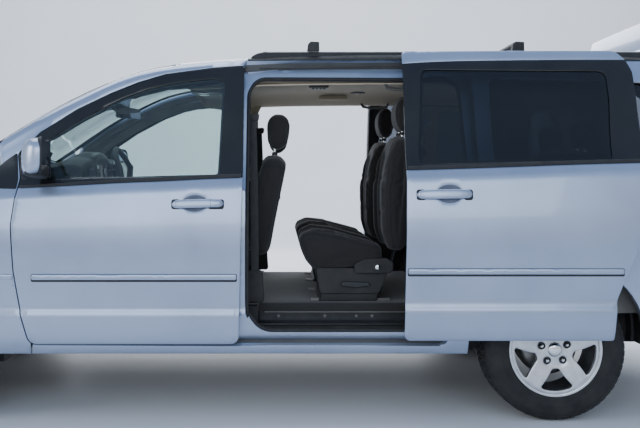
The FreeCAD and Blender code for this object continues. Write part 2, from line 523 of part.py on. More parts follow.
# ---------------------------------------------------------------- seats
def seat(u, z, width, cushion, back, lean, y, head=None, base=True, head_z=0.0, drop=0.0):
    """One seat: cushion from u back, a leaning backrest, its headrest and a base under it."""
    w = width / 2.0
    a = math.radians(lean)
    out = []
    c = side_prism(((u, z), (u + 30, z + 95), (u + cushion * 0.4, z + 85), (u + cushion, z + 45 - drop), (u + cushion, z - 60),
                    (u + 30, z - 60)), y - w, y + w)
    out.append(c)
    bu, bz = u + cushion - 60, z - 30
    tu, tz = bu + back * math.sin(a), bz + back * math.cos(a)
    t = 105
    b = side_prism(((bu + 70, bz), (bu + 70 + t, bz - 20), (tu + t, tz - 15), (tu + t - 35, tz + 15), (tu + 25, tz + 15), (tu, tz - 20)),
                   y - w, y + w)
    out.append(b.cut(c))
    if head:
        hw, hh = head
        hu, hz = tu + 18 + 30 * math.sin(a), tz + 45 + head_z
        out.append(side_prism(((hu, hz), (hu + 95, hz), (hu + 115, hz + hh * 0.5), (hu + 95, hz + hh), (hu + 20, hz + hh),
                               (hu - 5, hz + hh * 0.5)), y - hw / 2, y + hw / 2))
        for s in (-1, 1):
            out.append(rod((tu + 55, y + s * hw * 0.28, tz), (hu + 50, y + s * hw * 0.28, hz + 10), 7))
    if base:
        out.append(side_prism(((u + 60, z - 60), (u + cushion - 20, z - 60), (u + cushion - 40, FLOOR_Z), (u + 80, FLOOR_Z)),
                              y - w + 40, y + w - 40))
    return fuse(out)


front = [seat(1110, 800, 500, 500, 520, 14, s * SEAT_Y, (250, 175)) for s in (-1, 1)]
put("front_seats", front)
second = [seat(1860, 790, 520, 430, 620, 9.5, s * 400, (250, 195), head_z=-25, drop=15) for s in (-1, 1)]
put("second_row_seats", second)
third = fuse([seat(2830, 800, 560, 460, 520, 14, s * 291, (230, 150)) for s in (-1, 1)] + [box(3150, 3260, -60, 60, 810, 1000)])
put("third_row_seat", third)

# ---------------------------------------------------------------- roof rails and crossbars
RAIL_Y, RAIL_W = 676.0, 34.0
rails = []
for s in (-1, 1):
    rail = box(1620, 3690, s * RAIL_Y - RAIL_W / 2, s * RAIL_Y + RAIL_W / 2, 1700, 1796).cut(hull(1500, 3700, -0.5))
    rails.append(sorted(rail.Solids, key=lambda q: -q.Volume)[0])
put("roof_rails", rails)
bars = []
for u in (1935, 2965):
    foot = [box(u - 30, u + 30, s * RAIL_Y - 22, s * RAIL_Y + 22, 1796.5, 1834) for s in (-1, 1)]
    beam = box(u - 27, u + 27, -675, 675, 1822, 1846)
    bars.append(fuse(foot + [beam]))
put("roof_crossbars", bars)

# ---------------------------------------------------------------- engine, front frame, rear axle, exhaust, tank
put("engine_block", box(-360, 260, -400, 400, 260, 900))
legs = both(-640, 430, 405, 465, 250, 320)
beams = [box(-600, -520, -500, 500, 180, 250), box(180, 300, -440, 440, 180, 250)]
arms = []
for s in (-1, 1):
    arms.append(loft([[(-60, s * 440, 205), (200, s * 440, 205), (200, s * 440, 235), (-60, s * 440, 235)],
                      [(-32, s * 640, 196), (32, s * 640, 196), (32, s * 640, 218), (-32, s * 640, 218)]]))
ends = both(-600, -520, 400, 470, 250, 252) + both(180, 300, 405, 440, 250, 252)
put("front_subframe", fuse(legs + beams + arms + ends))

half_r = TRACK_R / 2.0
axle_parts = [box(2790, 2870, -560, 560, 250, 320)]
for s in (-1, 1):
    axle_parts.append(box(2600, 3110, min(s * 540, s * 600), max(s * 540, s * 600), 280, 340))
    axle_parts.append(across(WHEELBASE, WHEEL_Z, min(s * 570, s * (half_r - 96)), max(s * 570, s * (half_r - 96)), 45))
    axle_parts.append(upright(2960, s * 560, 320, 392, 60))
    axle_parts.append(across(WHEELBASE, WHEEL_Z, min(s * 682, s * (half_r - 66)), max(s * 682, s * (half_r - 66)), 140))
rear_axle = fuse(axle_parts)
put("rear_axle", minus(rear_axle, [across(WHEELBASE, WHEEL_Z, -(half_r + 200), -(half_r - 67), 200),
                                across(WHEELBASE, WHEEL_Z, half_r - 67, half_r + 200, 200)]))

pipe = [rod((420, 120, 250), (2600, 120, 250), 28), rod((2600, 120, 250), (2760, 130, 205), 28),
        rod((2760, 130, 205), (2930, 210, 205), 28), rod((2930, 210, 205), (3300, 420, 250), 28), rod((3300, 420, 250), (4100, 560, 270), 28),
        rod((1100, 120, 250), (1500, 120, 250), 60), rod((3480, 430, 256), (3920, 520, 256), 76)]
balls = [Part.makeSphere(28, Vector(*p)) for p in ((2600, 120, 250), (2760, 130, 205), (2930, 210, 205), (3300, 420, 250))]
exhaust = fuse(pipe + balls)
put("exhaust", exhaust.cut(box(2000, 4200, -842, 842, 328, 600)))
tank = box(1700, 2500, -560, -60, 252, 322)
put("fuel_tank", tank)

# ---------------------------------------------------------------- wheels
BOLT_PCD, BOLT_R = 127.0, 7.0


def wheel(u, y, s):
    """A tyre and a rim at (u, y); s is the side, -1 on the left."""
    lean = [(RIM_R, -105), (RIM_R + 12, -112), (TYRE_R - 45, -TYRE_W / 2), (TYRE_R - 12, -100), (TYRE_R, -78), (TYRE_R, 78),
            (TYRE_R - 12, 100), (TYRE_R - 45, TYRE_W / 2), (RIM_R + 12, 112), (RIM_R, 105)]
    t = Part.Face(wire([(u, y + b, WHEEL_Z + a) for a, b in lean])).revolve(Vector(u, y, WHEEL_Z), Vector(0, 1, 0), 360)
    o = s
    shell = [(RIM_R - 0.3, -104), (RIM_R - 0.3, 104), (RIM_R - 14, 104), (RIM_R - 20, 70), (RIM_R - 24, -80), (RIM_R - 14, -104)]
    barrel = Part.Face(wire([(u, y + o * b, WHEEL_Z + a) for a, b in shell])).revolve(Vector(u, y, WHEEL_Z), Vector(0, 1, 0), 360)
    face0, face1 = (y + o * 66, y + o * 92)
    hub = across(u, WHEEL_Z, min(y + o * 40, face1), max(y + o * 40, face1), 88)
    parts = [barrel, hub]
    for k in range(5):
        a = math.radians(90 + 72 * k)
        d = Vector(math.cos(a), 0, math.sin(a))
        n = Vector(-math.sin(a), 0, math.cos(a))
        c = Vector(u, 0, WHEEL_Z)
        pts = [c + d * 70 - n * 36, c + d * (RIM_R - 8) - n * 38, c + d * (RIM_R - 8) + n * 38, c + d * 70 + n * 36]
        f = Part.Face(Part.makePolygon([Vector(p.x, min(face0, face1), p.z) for p in pts + pts[:1]]))
        parts.append(f.extrude(Vector(0, abs(face1 - face0), 0)))
    r = fuse(parts)
    holes = []
    for k in range(5):
        a = math.radians(90 + 72 * k)
        holes.append(across(u + BOLT_PCD / 2 * math.cos(a), WHEEL_Z + BOLT_PCD / 2 * math.sin(a), y - 130, y + 130, BOLT_R))
    r = r.cut(holes)
    return t, r


half_f = TRACK_F / 2.0
for name, u, s in (("left_front", 0.0, -1), ("right_front", 0.0, 1), ("left_rear", WHEELBASE, -1), ("right_rear", WHEELBASE, 1)):
    t, r = wheel(u, s * (half_f if u == 0 else half_r), s)
    put(name + "_tyre", t)
    put(name + "_rim", r)

# ---------------------------------------------------------------- knuckles with struts and discs
for name, s in (("left", -1), ("right", 1)):
    hub_y = half_f + 36          # where the rim bolts on
    pieces = [upright(0, s * KING_Y, 238, 860, 18),
              upright(0, s * KING_Y, 520, 700, 15),
              across(0, WHEEL_Z, min(s * (KING_Y - 20), s * (half_f + 30)), max(s * (KING_Y - 20), s * (half_f + 30)), 40),
              across(0, WHEEL_Z, min(s * (half_f - 10), s * (half_f + 10)), max(s * (half_f - 10), s * (half_f + 10)), 150),
              box(-30, 30, min(s * (KING_Y - 26), s * (KING_Y + 20)), max(s * (KING_Y - 26), s * (KING_Y + 20)), 250, 520)]
    coil = upright(0, s * (KING_Y), 722, 852, 62)
    pieces.append(coil)
    put(name + "_knuckle", minus(fuse(pieces), [
        across(0, WHEEL_Z, min(s * (half_f + 30), s * (half_f + 200)), max(s * (half_f + 30), s * (half_f + 200)), 200)]))

# ---------------------------------------------------------------- hinge pins of the front doors
put("door_hinges", pins + [flip(pins[0])])

box_all = None
for n, s in NODES.items():
    b = s.BoundBox
    box_all = b if box_all is None else box_all.united(b)
print("nodes", len(NODES))
print("bounds", [round(v, 1) for v in (box_all.XMin, box_all.XMax, box_all.YMin, box_all.YMax, box_all.ZMin, box_all.ZMax)])
for n, s in NODES.items():
    bad = "" if s.isValid() else " INVALID"
    print("%-24s solids %d faces %d vol %.4f m3%s" % (n, len(s.Solids), len(s.Faces), s.Volume / 1e9, bad))
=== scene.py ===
import bpy
import bmesh
import math
import json
import random
import numpy as np
from mathutils import Vector, Matrix
from mathutils.geometry import delaunay_2d_cdt
from mathutils.bvhtree import BVHTree

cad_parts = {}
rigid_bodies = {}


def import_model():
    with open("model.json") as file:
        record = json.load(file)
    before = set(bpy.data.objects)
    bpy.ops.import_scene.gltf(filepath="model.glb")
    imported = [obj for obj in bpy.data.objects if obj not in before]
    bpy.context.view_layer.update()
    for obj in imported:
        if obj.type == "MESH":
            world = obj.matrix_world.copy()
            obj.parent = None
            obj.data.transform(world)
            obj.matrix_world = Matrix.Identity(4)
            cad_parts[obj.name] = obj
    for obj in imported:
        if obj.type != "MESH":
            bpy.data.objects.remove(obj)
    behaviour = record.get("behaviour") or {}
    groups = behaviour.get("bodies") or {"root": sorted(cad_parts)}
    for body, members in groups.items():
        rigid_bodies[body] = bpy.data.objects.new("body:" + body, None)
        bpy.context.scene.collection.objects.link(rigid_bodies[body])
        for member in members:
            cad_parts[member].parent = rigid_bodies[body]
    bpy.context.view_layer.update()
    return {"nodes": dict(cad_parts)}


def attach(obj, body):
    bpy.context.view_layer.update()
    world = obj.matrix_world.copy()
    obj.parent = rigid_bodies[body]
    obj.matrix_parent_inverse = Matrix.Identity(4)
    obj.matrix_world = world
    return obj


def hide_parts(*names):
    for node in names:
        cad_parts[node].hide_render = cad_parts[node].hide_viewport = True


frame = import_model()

random.seed(7)
RNG = np.random.default_rng(7)
NODES = frame["nodes"]
SCENE = bpy.context.scene

# Working coordinates are millimetres: u behind the front axle, y (left is negative), z up. X0 is the u of the origin.
X0 = 1965.0
WB, ARCH_R, ARCH_Z, ARCH_H = 3078.0, 419.0, 403.0, 372.0
TYRE_R, TYRE_W, RIM_R = 340.0, 225.0, 219.0
HALF_F, HALF_R = 833.0, 822.5
SLIDE = (764.0, -75.0, 35.0)
GATE_U, GATE_Z, GATE_OPEN = 3748.0, 1768.0, 85.0
FLOOR_Z = 525.0

# ------------------------------------------------------------------ the body's sections
# u, then one value for each level from the sill up and in to the centre line:
# sill rocker crease_low crease_high moulding side shoulder belt glass_top roof_edge roof_turn roof_mid centre
HEIGHT = np.array((
    (-965, 300, 330, 380, 400, 450, 490, 520, 545, 560, 570, 577, 585, 590),
    (-935, 250, 285, 370, 400, 480, 560, 610, 640, 655, 665, 672, 680, 684),
    (-870, 228, 270, 375, 410, 520, 640, 700, 735, 760, 775, 786, 806, 816),
    (-760, 222, 270, 385, 425, 560, 700, 775, 815, 842, 858, 870, 897, 908),
    (-560, 230, 285, 410, 455, 620, 780, 855, 892, 920, 936, 948, 974, 984),
    (-250, 270, 325, 460, 500, 680, 870, 935, 968, 992, 1006, 1016, 1038, 1046),
    (-80, 290, 342, 480, 516, 695, 908, 972, 1004, 1027, 1042, 1053, 1074, 1082),
    (60, 310, 358, 500, 532, 700, 938, 1040, 1085, 1098, 1108, 1130, 1166, 1178),
    (378, 322, 369, 509, 540, 700, 950, 1063, 1107, 1260, 1307, 1340, 1378, 1388),
    (716, 322, 369, 509, 540, 700, 950, 1080, 1124, 1455, 1517, 1545, 1580, 1592),
    (1055, 322, 369, 509, 540, 700, 950, 1098, 1142, 1605, 1672, 1692, 1722, 1733),
    (1190, 322, 369, 509, 540, 700, 950, 1103, 1147, 1638, 1703, 1720, 1748, 1758),
    (1434, 322, 369, 509, 540, 700, 950, 1115, 1159, 1665, 1733, 1748, 1770, 1779),
    (1909, 322, 369, 509, 540, 700, 950, 1130, 1174, 1690, 1762, 1774, 1790, 1796),
    (2500, 322, 369, 509, 541, 700, 950, 1151, 1195, 1695, 1768, 1780, 1795, 1800),
    (3300, 322, 369, 509, 541, 700, 950, 1168, 1212, 1690, 1762, 1774, 1789, 1795),
    (3745, 330, 375, 509, 541, 700, 950, 1176, 1220, 1672, 1742, 1755, 1768, 1773),
    (3935, 340, 385, 509, 540, 700, 950, 1178, 1222, 1640, 1680, 1690, 1697, 1700),
    (4040, 345, 390, 505, 535, 690, 900, 1080, 1140, 1215, 1240, 1255, 1275, 1283),
    (4095, 350, 392, 480, 510, 600, 700, 760, 800, 850, 880, 895, 915, 925),
    (4120, 355, 395, 460, 490, 545, 600, 640, 670, 700, 715, 725, 740, 745),
    (4160, 370, 400, 450, 475, 515, 550, 575, 592, 605, 613, 618, 625, 628),
    (4178, 400, 420, 455, 470, 500, 525, 545, 558, 567, 573, 577, 582, 584),
), float)
HALF_WIDTH = np.array((
    (-965, 250, 270, 285, 288, 290, 288, 280, 265, 240, 210, 180, 90, 0),
    (-935, 500, 520, 540, 545, 548, 540, 528, 510, 480, 440, 390, 200, 0),
    (-870, 690, 715, 738, 742, 742, 722, 700, 675, 640, 590, 520, 270, 0),
    (-760, 790, 815, 840, 845, 846, 830, 808, 780, 742, 690, 610, 320, 0),
    (-560, 862, 885, 908, 912, 912, 900, 878, 848, 805, 745, 660, 340, 0),
    (-250, 890, 912, 938, 940, 938, 928, 905, 875, 830, 765, 680, 350, 0),
    (-80, 901, 924, 947, 947, 947, 940, 916, 886, 836, 768, 686, 350, 0),
    (60, 912, 934, 956, 952, 954, 949, 925, 897, 868, 825, 700, 360, 0),
    (378, 925, 948, 967, 956, 962, 955, 930, 905, 855, 838, 760, 400, 0),
    (716, 925, 948, 967, 956, 962, 955, 930, 905, 797, 772, 715, 400, 0),
    (1055, 925, 948, 967, 956, 962, 955, 930, 905, 755, 728, 680, 380, 0),
    (1190, 925, 948, 967, 956, 962, 955, 930, 905, 745, 716, 668, 370, 0),
    (1434, 925, 948, 967, 956, 962, 955, 930, 905, 740, 705, 655, 360, 0),
    (1909, 925, 948, 967, 956, 962, 955, 930, 905, 737, 700, 650, 350, 0),
    (2500, 925, 948, 967, 956, 962, 955, 930, 905, 742, 704, 653, 350, 0),
    (3300, 920, 944, 963, 953, 959, 952, 928, 903, 745, 706, 655, 350, 0),
    (3745, 908, 932, 950, 944, 946, 938, 912, 888, 740, 700, 650, 345, 0),
    (3935, 890, 912, 930, 926, 926, 918, 895, 868, 735, 690, 640, 340, 0),
    (4040, 860, 882, 900, 898, 898, 886, 865, 850, 810, 750, 680, 350, 0),
    (4095, 800, 822, 842, 842, 838, 820, 800, 775, 735, 680, 600, 310, 0),
    (4120, 740, 765, 790, 792, 790, 775, 755, 725, 680, 620, 540, 290, 0),
    (4160, 600, 630, 655, 658, 655, 640, 620, 595, 560, 510, 450, 240, 0),
    (4178, 400, 430, 450, 452, 450, 440, 425, 405, 380, 340, 300, 160, 0),
), float)
ST = HEIGHT[:, 0]

FRONT_DOOR = ((584, 372), (545, 514), (510, 721), (496, 933), (508, 1060), (522, 1160), (503, 1279), (600, 1382), (772, 1495),
              (930, 1574), (1064, 1630), (1196, 1672), (1438, 1706), (1590, 1716), (1589, 1164), (1571, 372))
FRONT_GLASS = ((640, 1152), (1476, 1172), (1494, 1636), (1437, 1650), (1263, 1630), (1130, 1602), (1000, 1554), (806, 1453),
               (642, 1345))
FRONT_APERTURE = ((640, 440), (600, 520), (570, 721), (560, 933), (575, 1160), (580, 1320), (640, 1380), (785, 1470),
                  (935, 1550), (1065, 1600), (1200, 1636), (1438, 1660), (1535, 1668), (1540, 1164), (1525, 440))
SLIDING_DOOR = ((1580, 367), (2555, 367), (2567, 560), (2610, 669), (2657, 778), (2700, 900), (2722, 1060), (2722, 1195),
                (2712, 1640), (2690, 1700), (2640, 1728), (1600, 1728), (1597, 1164))
SLIDING_GLASS = ((1660, 1192), (2565, 1212), (2583, 1500), (2578, 1640), (1690, 1650))
SLIDING_APERTURE = ((1690, 440), (2480, 440), (2530, 640), (2610, 800), (2650, 950), (2660, 1190), (2640, 1620), (2610, 1660),
                    (1660, 1668), (1628, 1600), (1625, 1164), (1625, 520))
QUARTER_GLASS = ((2800, 1245), (3690, 1262), (3640, 1540), (3560, 1625), (2800, 1645))


# ------------------------------------------------------------------ surface maths
def pchip_slopes(x, y):
    h = np.diff(x)
    d = np.diff(y, axis=0) / h[:, None]
    m = np.zeros_like(y)
    for i in range(1, len(x) - 1):
        w1, w2 = 2 * h[i] + h[i - 1], h[i] + 2 * h[i - 1]
        ok = (d[i - 1] * d[i]) > 0
        with np.errstate(divide="ignore", invalid="ignore"):
            hm = (w1 + w2) / (w1 / d[i - 1] + w2 / d[i])
        m[i] = np.where(ok, hm, 0.0)
    m[0], m[-1] = d[0], d[-1]
    return m


ZV, YV = HEIGHT[:, 1:], HALF_WIDTH[:, 1:]
ZM, YM = pchip_slopes(ST, ZV), pchip_slopes(ST, YV)


def at(u, V, M):
    """The 13 level values at each u, on smooth curves through the stations."""
    i = np.clip(np.searchsorted(ST, u, side="right") - 1, 0, len(ST) - 2)
    h = (ST[i + 1] - ST[i])[:, None]
    t = ((u - ST[i]) / (ST[i + 1] - ST[i]))[:, None]
    t2, t3 = t * t, t * t * t
    return (2 * t3 - 3 * t2 + 1) * V[i] + (t3 - 2 * t2 + t) * h * M[i] + (-2 * t3 + 3 * t2) * V[i + 1] + (t3 - t2) * h * M[i + 1]


CREASE = {2, 3, 6}


def surf(u, k):
    """(y, z) of the left half of the body at u and level k; y is the half width."""
    u, k = np.asarray(u, float), np.asarray(k, float)
    Y, Z = at(u, YV, YM), at(u, ZV, ZM)
    P = np.stack([Y, Z], -1)
    h = np.linalg.norm(np.diff(P, axis=1), axis=-1)
    h = np.maximum(h, 1e-6)
    d = np.diff(P, axis=1) / h[..., None]
    i = np.clip(np.floor(k).astype(int), 0, 11)
    t = (k - i)[:, None]
    r = np.arange(len(u))

    def tangent(j, after):
        """The direction at level j, for the segment after it or before it."""
        out = np.empty((len(u), 2))
        for q in range(13):
            s = j == q
            if not s.any():
                continue
            if q == 0:
                out[s] = d[s, 0]
            elif q == 12:
                out[s] = np.array([-1.0, 0.0])
            elif q in CREASE:
                out[s] = d[s, q] if after else d[s, q - 1]
            else:
                a, b = h[s, q - 1][:, None], h[s, q][:, None]
                out[s] = (b * d[s, q - 1] + a * d[s, q]) / (a + b)
        return out

    T0, T1 = tangent(i, True), tangent(i + 1, False)
    hh = h[r, i][:, None]
    P0, P1 = P[r, i], P[r, i + 1]
    t2, t3 = t * t, t * t * t
    return (2 * t3 - 3 * t2 + 1) * P0 + (t3 - 2 * t2 + t) * hh * T0 + (-2 * t3 + 3 * t2) * P1 + (t3 - t2) * hh * T1


_ref = surf(np.full(13, 1909.0), np.arange(13.0))
S_AT = np.concatenate([[0.0], np.cumsum(np.linalg.norm(np.diff(_ref, axis=0), axis=1))])   # chart height of each level
S_MID = S_AT[-1]


def k_of_s(s):
    return np.interp(s, S_AT, np.arange(13.0))


def s_of_k(k):
    return np.interp(k, np.arange(13.0), S_AT)


def s_from_z(u, z, hi=9.4):
    """Chart height of a point given by its real height, on the side of the body."""
    u, z = np.asarray(u, float), np.asarray(z, float)
    a, b = np.zeros(len(u)), np.full(len(u), hi)
    for _ in range(34):
        m = (a + b) / 2
        low = surf(u, m)[:, 1] < z
        a, b = np.where(low, m, a), np.where(low, b, m)
    return s_of_k((a + b) / 2)


def s_from_y(u, y, lo=7.0):
    """Chart height of a point given by its distance from the centre line, on the body's top."""
    u, y = np.asarray(u, float), np.abs(np.asarray(y, float))
    a, b = np.full(len(u), lo), np.full(len(u), 12.0)
    for _ in range(34):
        m = (a + b) / 2
        wide = surf(u, m)[:, 0] > y
        a, b = np.where(wide, m, a), np.where(wide, b, m)
    return s_of_k((a + b) / 2)


class Side:
    """Chart (u, s): s runs up the left side to the centre line at S_MID and down the right side."""

    def pos(self, q):
        u, s = q[:, 0], q[:, 1]
        right = s > S_MID
        k = k_of_s(np.where(right, 2 * S_MID - s, s))
        yz = surf(np.clip(u, ST[0], ST[-1]), k)
        return np.stack([u, np.where(right, yz[:, 0], -yz[:, 0]), yz[:, 1]], 1)

    lines = [S_AT[2], S_AT[3], S_AT[6]]
    out = 1.0


SIDE = Side()

# Tables of the half width at (u, z), for the nose and tail charts, which look outward from inside at each height.
_tab_u = np.concatenate([np.arange(-965, -300, 5.0), np.arange(3600, 4178.1, 5.0)])
_tab_z = np.arange(200, 1800, 5.0)
_kk = np.linspace(0, 12, 181)
_tab = np.zeros((len(_tab_u), len(_tab_z)))
for _i, _u in enumerate(_tab_u):
    _p = surf(np.full(len(_kk), _u), _kk)
    _z = np.maximum.accumulate(_p[:, 1])
    _tab[_i] = np.interp(_tab_z, _z + np.arange(len(_z)) * 1e-6, _p[:, 0], left=-1.0, right=-1.0)
    _tab[_i][_tab_z < _p[0, 1]] = _p[0, 0]


def half_width(u, z):
    i = np.clip(np.searchsorted(_tab_u, u) - 1, 0, len(_tab_u) - 2)
    f = np.clip((u - _tab_u[i]) / (_tab_u[i + 1] - _tab_u[i]), 0, 1)
    jz = np.clip((z - _tab_z[0]) / 5.0, 0, len(_tab_z) - 1.001)
    j = jz.astype(int)
    g = jz - j
    w = (_tab[i, j] * (1 - g) + _tab[i, j + 1] * g) * (1 - f) + (_tab[i + 1, j] * (1 - g) + _tab[i + 1, j + 1] * g) * f
    w = np.where((u < ST[0]) | (u > ST[-1]), -1.0, w)
    return w


class Turn:
    """Chart (a, z): a is an angle, in mm along a 600 mm circle, round a post at cu; 0 looks straight out along X."""

    def __init__(self, cu, sign, reach):
        self.cu, self.sign, self.reach = cu, sign, reach
        self.lines = []
        self.out = -sign

    def pos(self, q):
        th = q[:, 0] / 600.0
        z = q[:, 1]
        du, dy = self.sign * np.cos(th), -np.sin(th)
        a, b = np.zeros(len(q)), np.full(len(q), self.reach)
        for _ in range(30):
            m = (a + b) / 2
            inside = np.abs(m * dy) <= half_width(self.cu + m * du, z)
            a, b = np.where(inside, m, a), np.where(inside, b, m)
        r = (a + b) / 2
        return np.stack([self.cu + r * du, r * dy, z], 1)


NOSE = Turn(-420.0, -1.0, 1100.0)
TAIL = Turn(3660.0, 1.0, 1100.0)


# ------------------------------------------------------------------ outlines
def dense(poly, step=22.0):
    out = []
    n = len(poly)
    for i in range(n):
        a, b = np.array(poly[i], float), np.array(poly[(i + 1) % n], float)
        m = max(1, int(math.ceil(np.linalg.norm(b - a) / step)))
        for j in range(m):
            out.append(a + (b - a) * j / m)
    return np.array(out)


def rounded(poly, r):
    """The outline with its corners replaced by arcs; r is one radius or a list of them."""
    n = len(poly)
    out = []
    for i in range(n):
        p, q, s = (np.array(poly[(i + j) % n], float) for j in (-1, 0, 1))
        rr = r[i] if hasattr(r, "__len__") else r
        a, b = p - q, s - q
        la, lb = np.linalg.norm(a), np.linalg.norm(b)
        a, b = a / la, b / lb
        ang = math.acos(max(-1, min(1, float(a @ b))))
        if rr <= 0 or ang > math.radians(176):
            out.append(q)
            continue
        d = min(rr / math.tan(ang / 2), 0.46 * la, 0.46 * lb)
        rr = d * math.tan(ang / 2)
        c = q + (a + b) / np.linalg.norm(a + b) * (rr / math.sin(ang / 2))
        v0, v1 = q + a * d - c, q + b * d - c
        t0, t1 = math.atan2(v0[1], v0[0]), math.atan2(v1[1], v1[0])
        dt = (t1 - t0 + math.pi) % (2 * math.pi) - math.pi
        m = max(2, int(abs(dt) / 0.22) + 1)
        for j in range(m + 1):
            t = t0 + dt * j / m
            out.append(c + rr * np.array([math.cos(t), math.sin(t)]))
    return np.array(out)


def area(poly):
    p = np.asarray(poly, float)
    q = np.roll(p, -1, 0)
    return 0.5 * float(np.sum(p[:, 0] * q[:, 1] - q[:, 0] * p[:, 1]))


def offset(poly, d):
    """The outline moved outward by d (inward if negative)."""
    p = np.asarray(poly, float)
    if area(p) < 0:
        p = p[::-1]
    e = np.roll(p, -1, 0) - p
    e /= np.maximum(np.linalg.norm(e, axis=1), 1e-9)[:, None]
    nrm = np.stack([e[:, 1], -e[:, 0]], 1)
    m = nrm + np.roll(nrm, 1, 0)
    k = 2.0 / np.maximum(0.5, (m * m).sum(1))
    return p + d * m * k[:, None]


def to_side(poly_uz, r=0.0, step=22.0, hi=9.4):
    """A side outline in real (u, z) as a dense outline in the side chart."""
    p = dense(rounded(poly_uz, r) if (hasattr(r, "__len__") or r > 0) else poly_uz, step)
    return np.stack([p[:, 0], s_from_z(p[:, 0], p[:, 1], hi)], 1)


def to_top(poly_uy, r=0.0, step=22.0, lo=7.0):
    """A top outline in real (u, y) as a dense outline in the side chart."""
    p = dense(rounded(poly_uy, r) if (hasattr(r, "__len__") or r > 0) else poly_uy, step)
    s = s_from_y(p[:, 0], p[:, 1], lo)
    return np.stack([p[:, 0], np.where(p[:, 1] > 0, 2 * S_MID - s, s)], 1)


def inside(pts, poly):
    x, y = pts[:, 0], pts[:, 1]
    c = np.zeros(len(pts), bool)
    px, py = poly[:, 0], poly[:, 1]
    qx, qy = np.roll(px, -1), np.roll(py, -1)
    for i in range(len(poly)):
        hit = (py[i] > y) != (qy[i] > y)
        if hit.any():
            t = (y[hit] - py[i]) / (qy[i] - py[i])
            c[np.where(hit)[0][x[hit] < px[i] + t * (qx[i] - px[i])]] ^= True
    return c


def clearance(pts, loops):
    """Distance from each point to the nearest outline."""
    best = np.full(len(pts), 1e9)
    for L in loops:
        a, b = L, np.roll(L, -1, 0)
        for i in range(len(L)):
            e = b[i] - a[i]
            t = np.clip(((pts - a[i]) @ e) / max(1e-9, float(e @ e)), 0, 1)
            best = np.minimum(best, np.linalg.norm(pts - a[i] - t[:, None] * e, axis=1))
    return best


# ------------------------------------------------------------------ meshes
def link(name, verts, faces, mats=(), face_mats=None, smooth=True, body="root", angle=40):
    me = bpy.data.meshes.new(name)
    me.from_pydata([tuple(v) for v in verts], [], [tuple(int(i) for i in f) for f in faces])
    me.update()
    ob = bpy.data.objects.new(name, me)
    SCENE.collection.objects.link(ob)
    for m in mats:
        me.materials.append(m)
    if face_mats is not None:
        me.polygons.foreach_set("material_index", np.asarray(face_mats, np.int32))
    me.validate()
    if smooth:
        me.shade_smooth()
        if angle:
            set_sharp(ob, angle)
    if body:
        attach(ob, body)
    return ob


def set_sharp(ob, angle):
    bm = bmesh.new()
    bm.from_mesh(ob.data)
    lim = math.radians(angle)
    for e in bm.edges:
        if len(e.link_faces) == 2 and e.calc_face_angle(0.0) > lim:
            e.smooth = False
    bm.to_mesh(ob.data)
    bm.free()


def M(p):
    """Millimetres in (u, y, z) to metres in the frame."""
    p = np.asarray(p, float).copy()
    p[..., 0] -= X0
    return p / 1000.0


def normals(chart, q):
    d = 1.5
    a = chart.pos(q + [d, 0]) - chart.pos(q - [d, 0])
    b = chart.pos(q + [0, d]) - chart.pos(q - [0, d])
    n = np.cross(a, b)
    ln = np.linalg.norm(n, axis=1)
    n /= np.maximum(ln, 1e-9)[:, None]
    return n, a, b


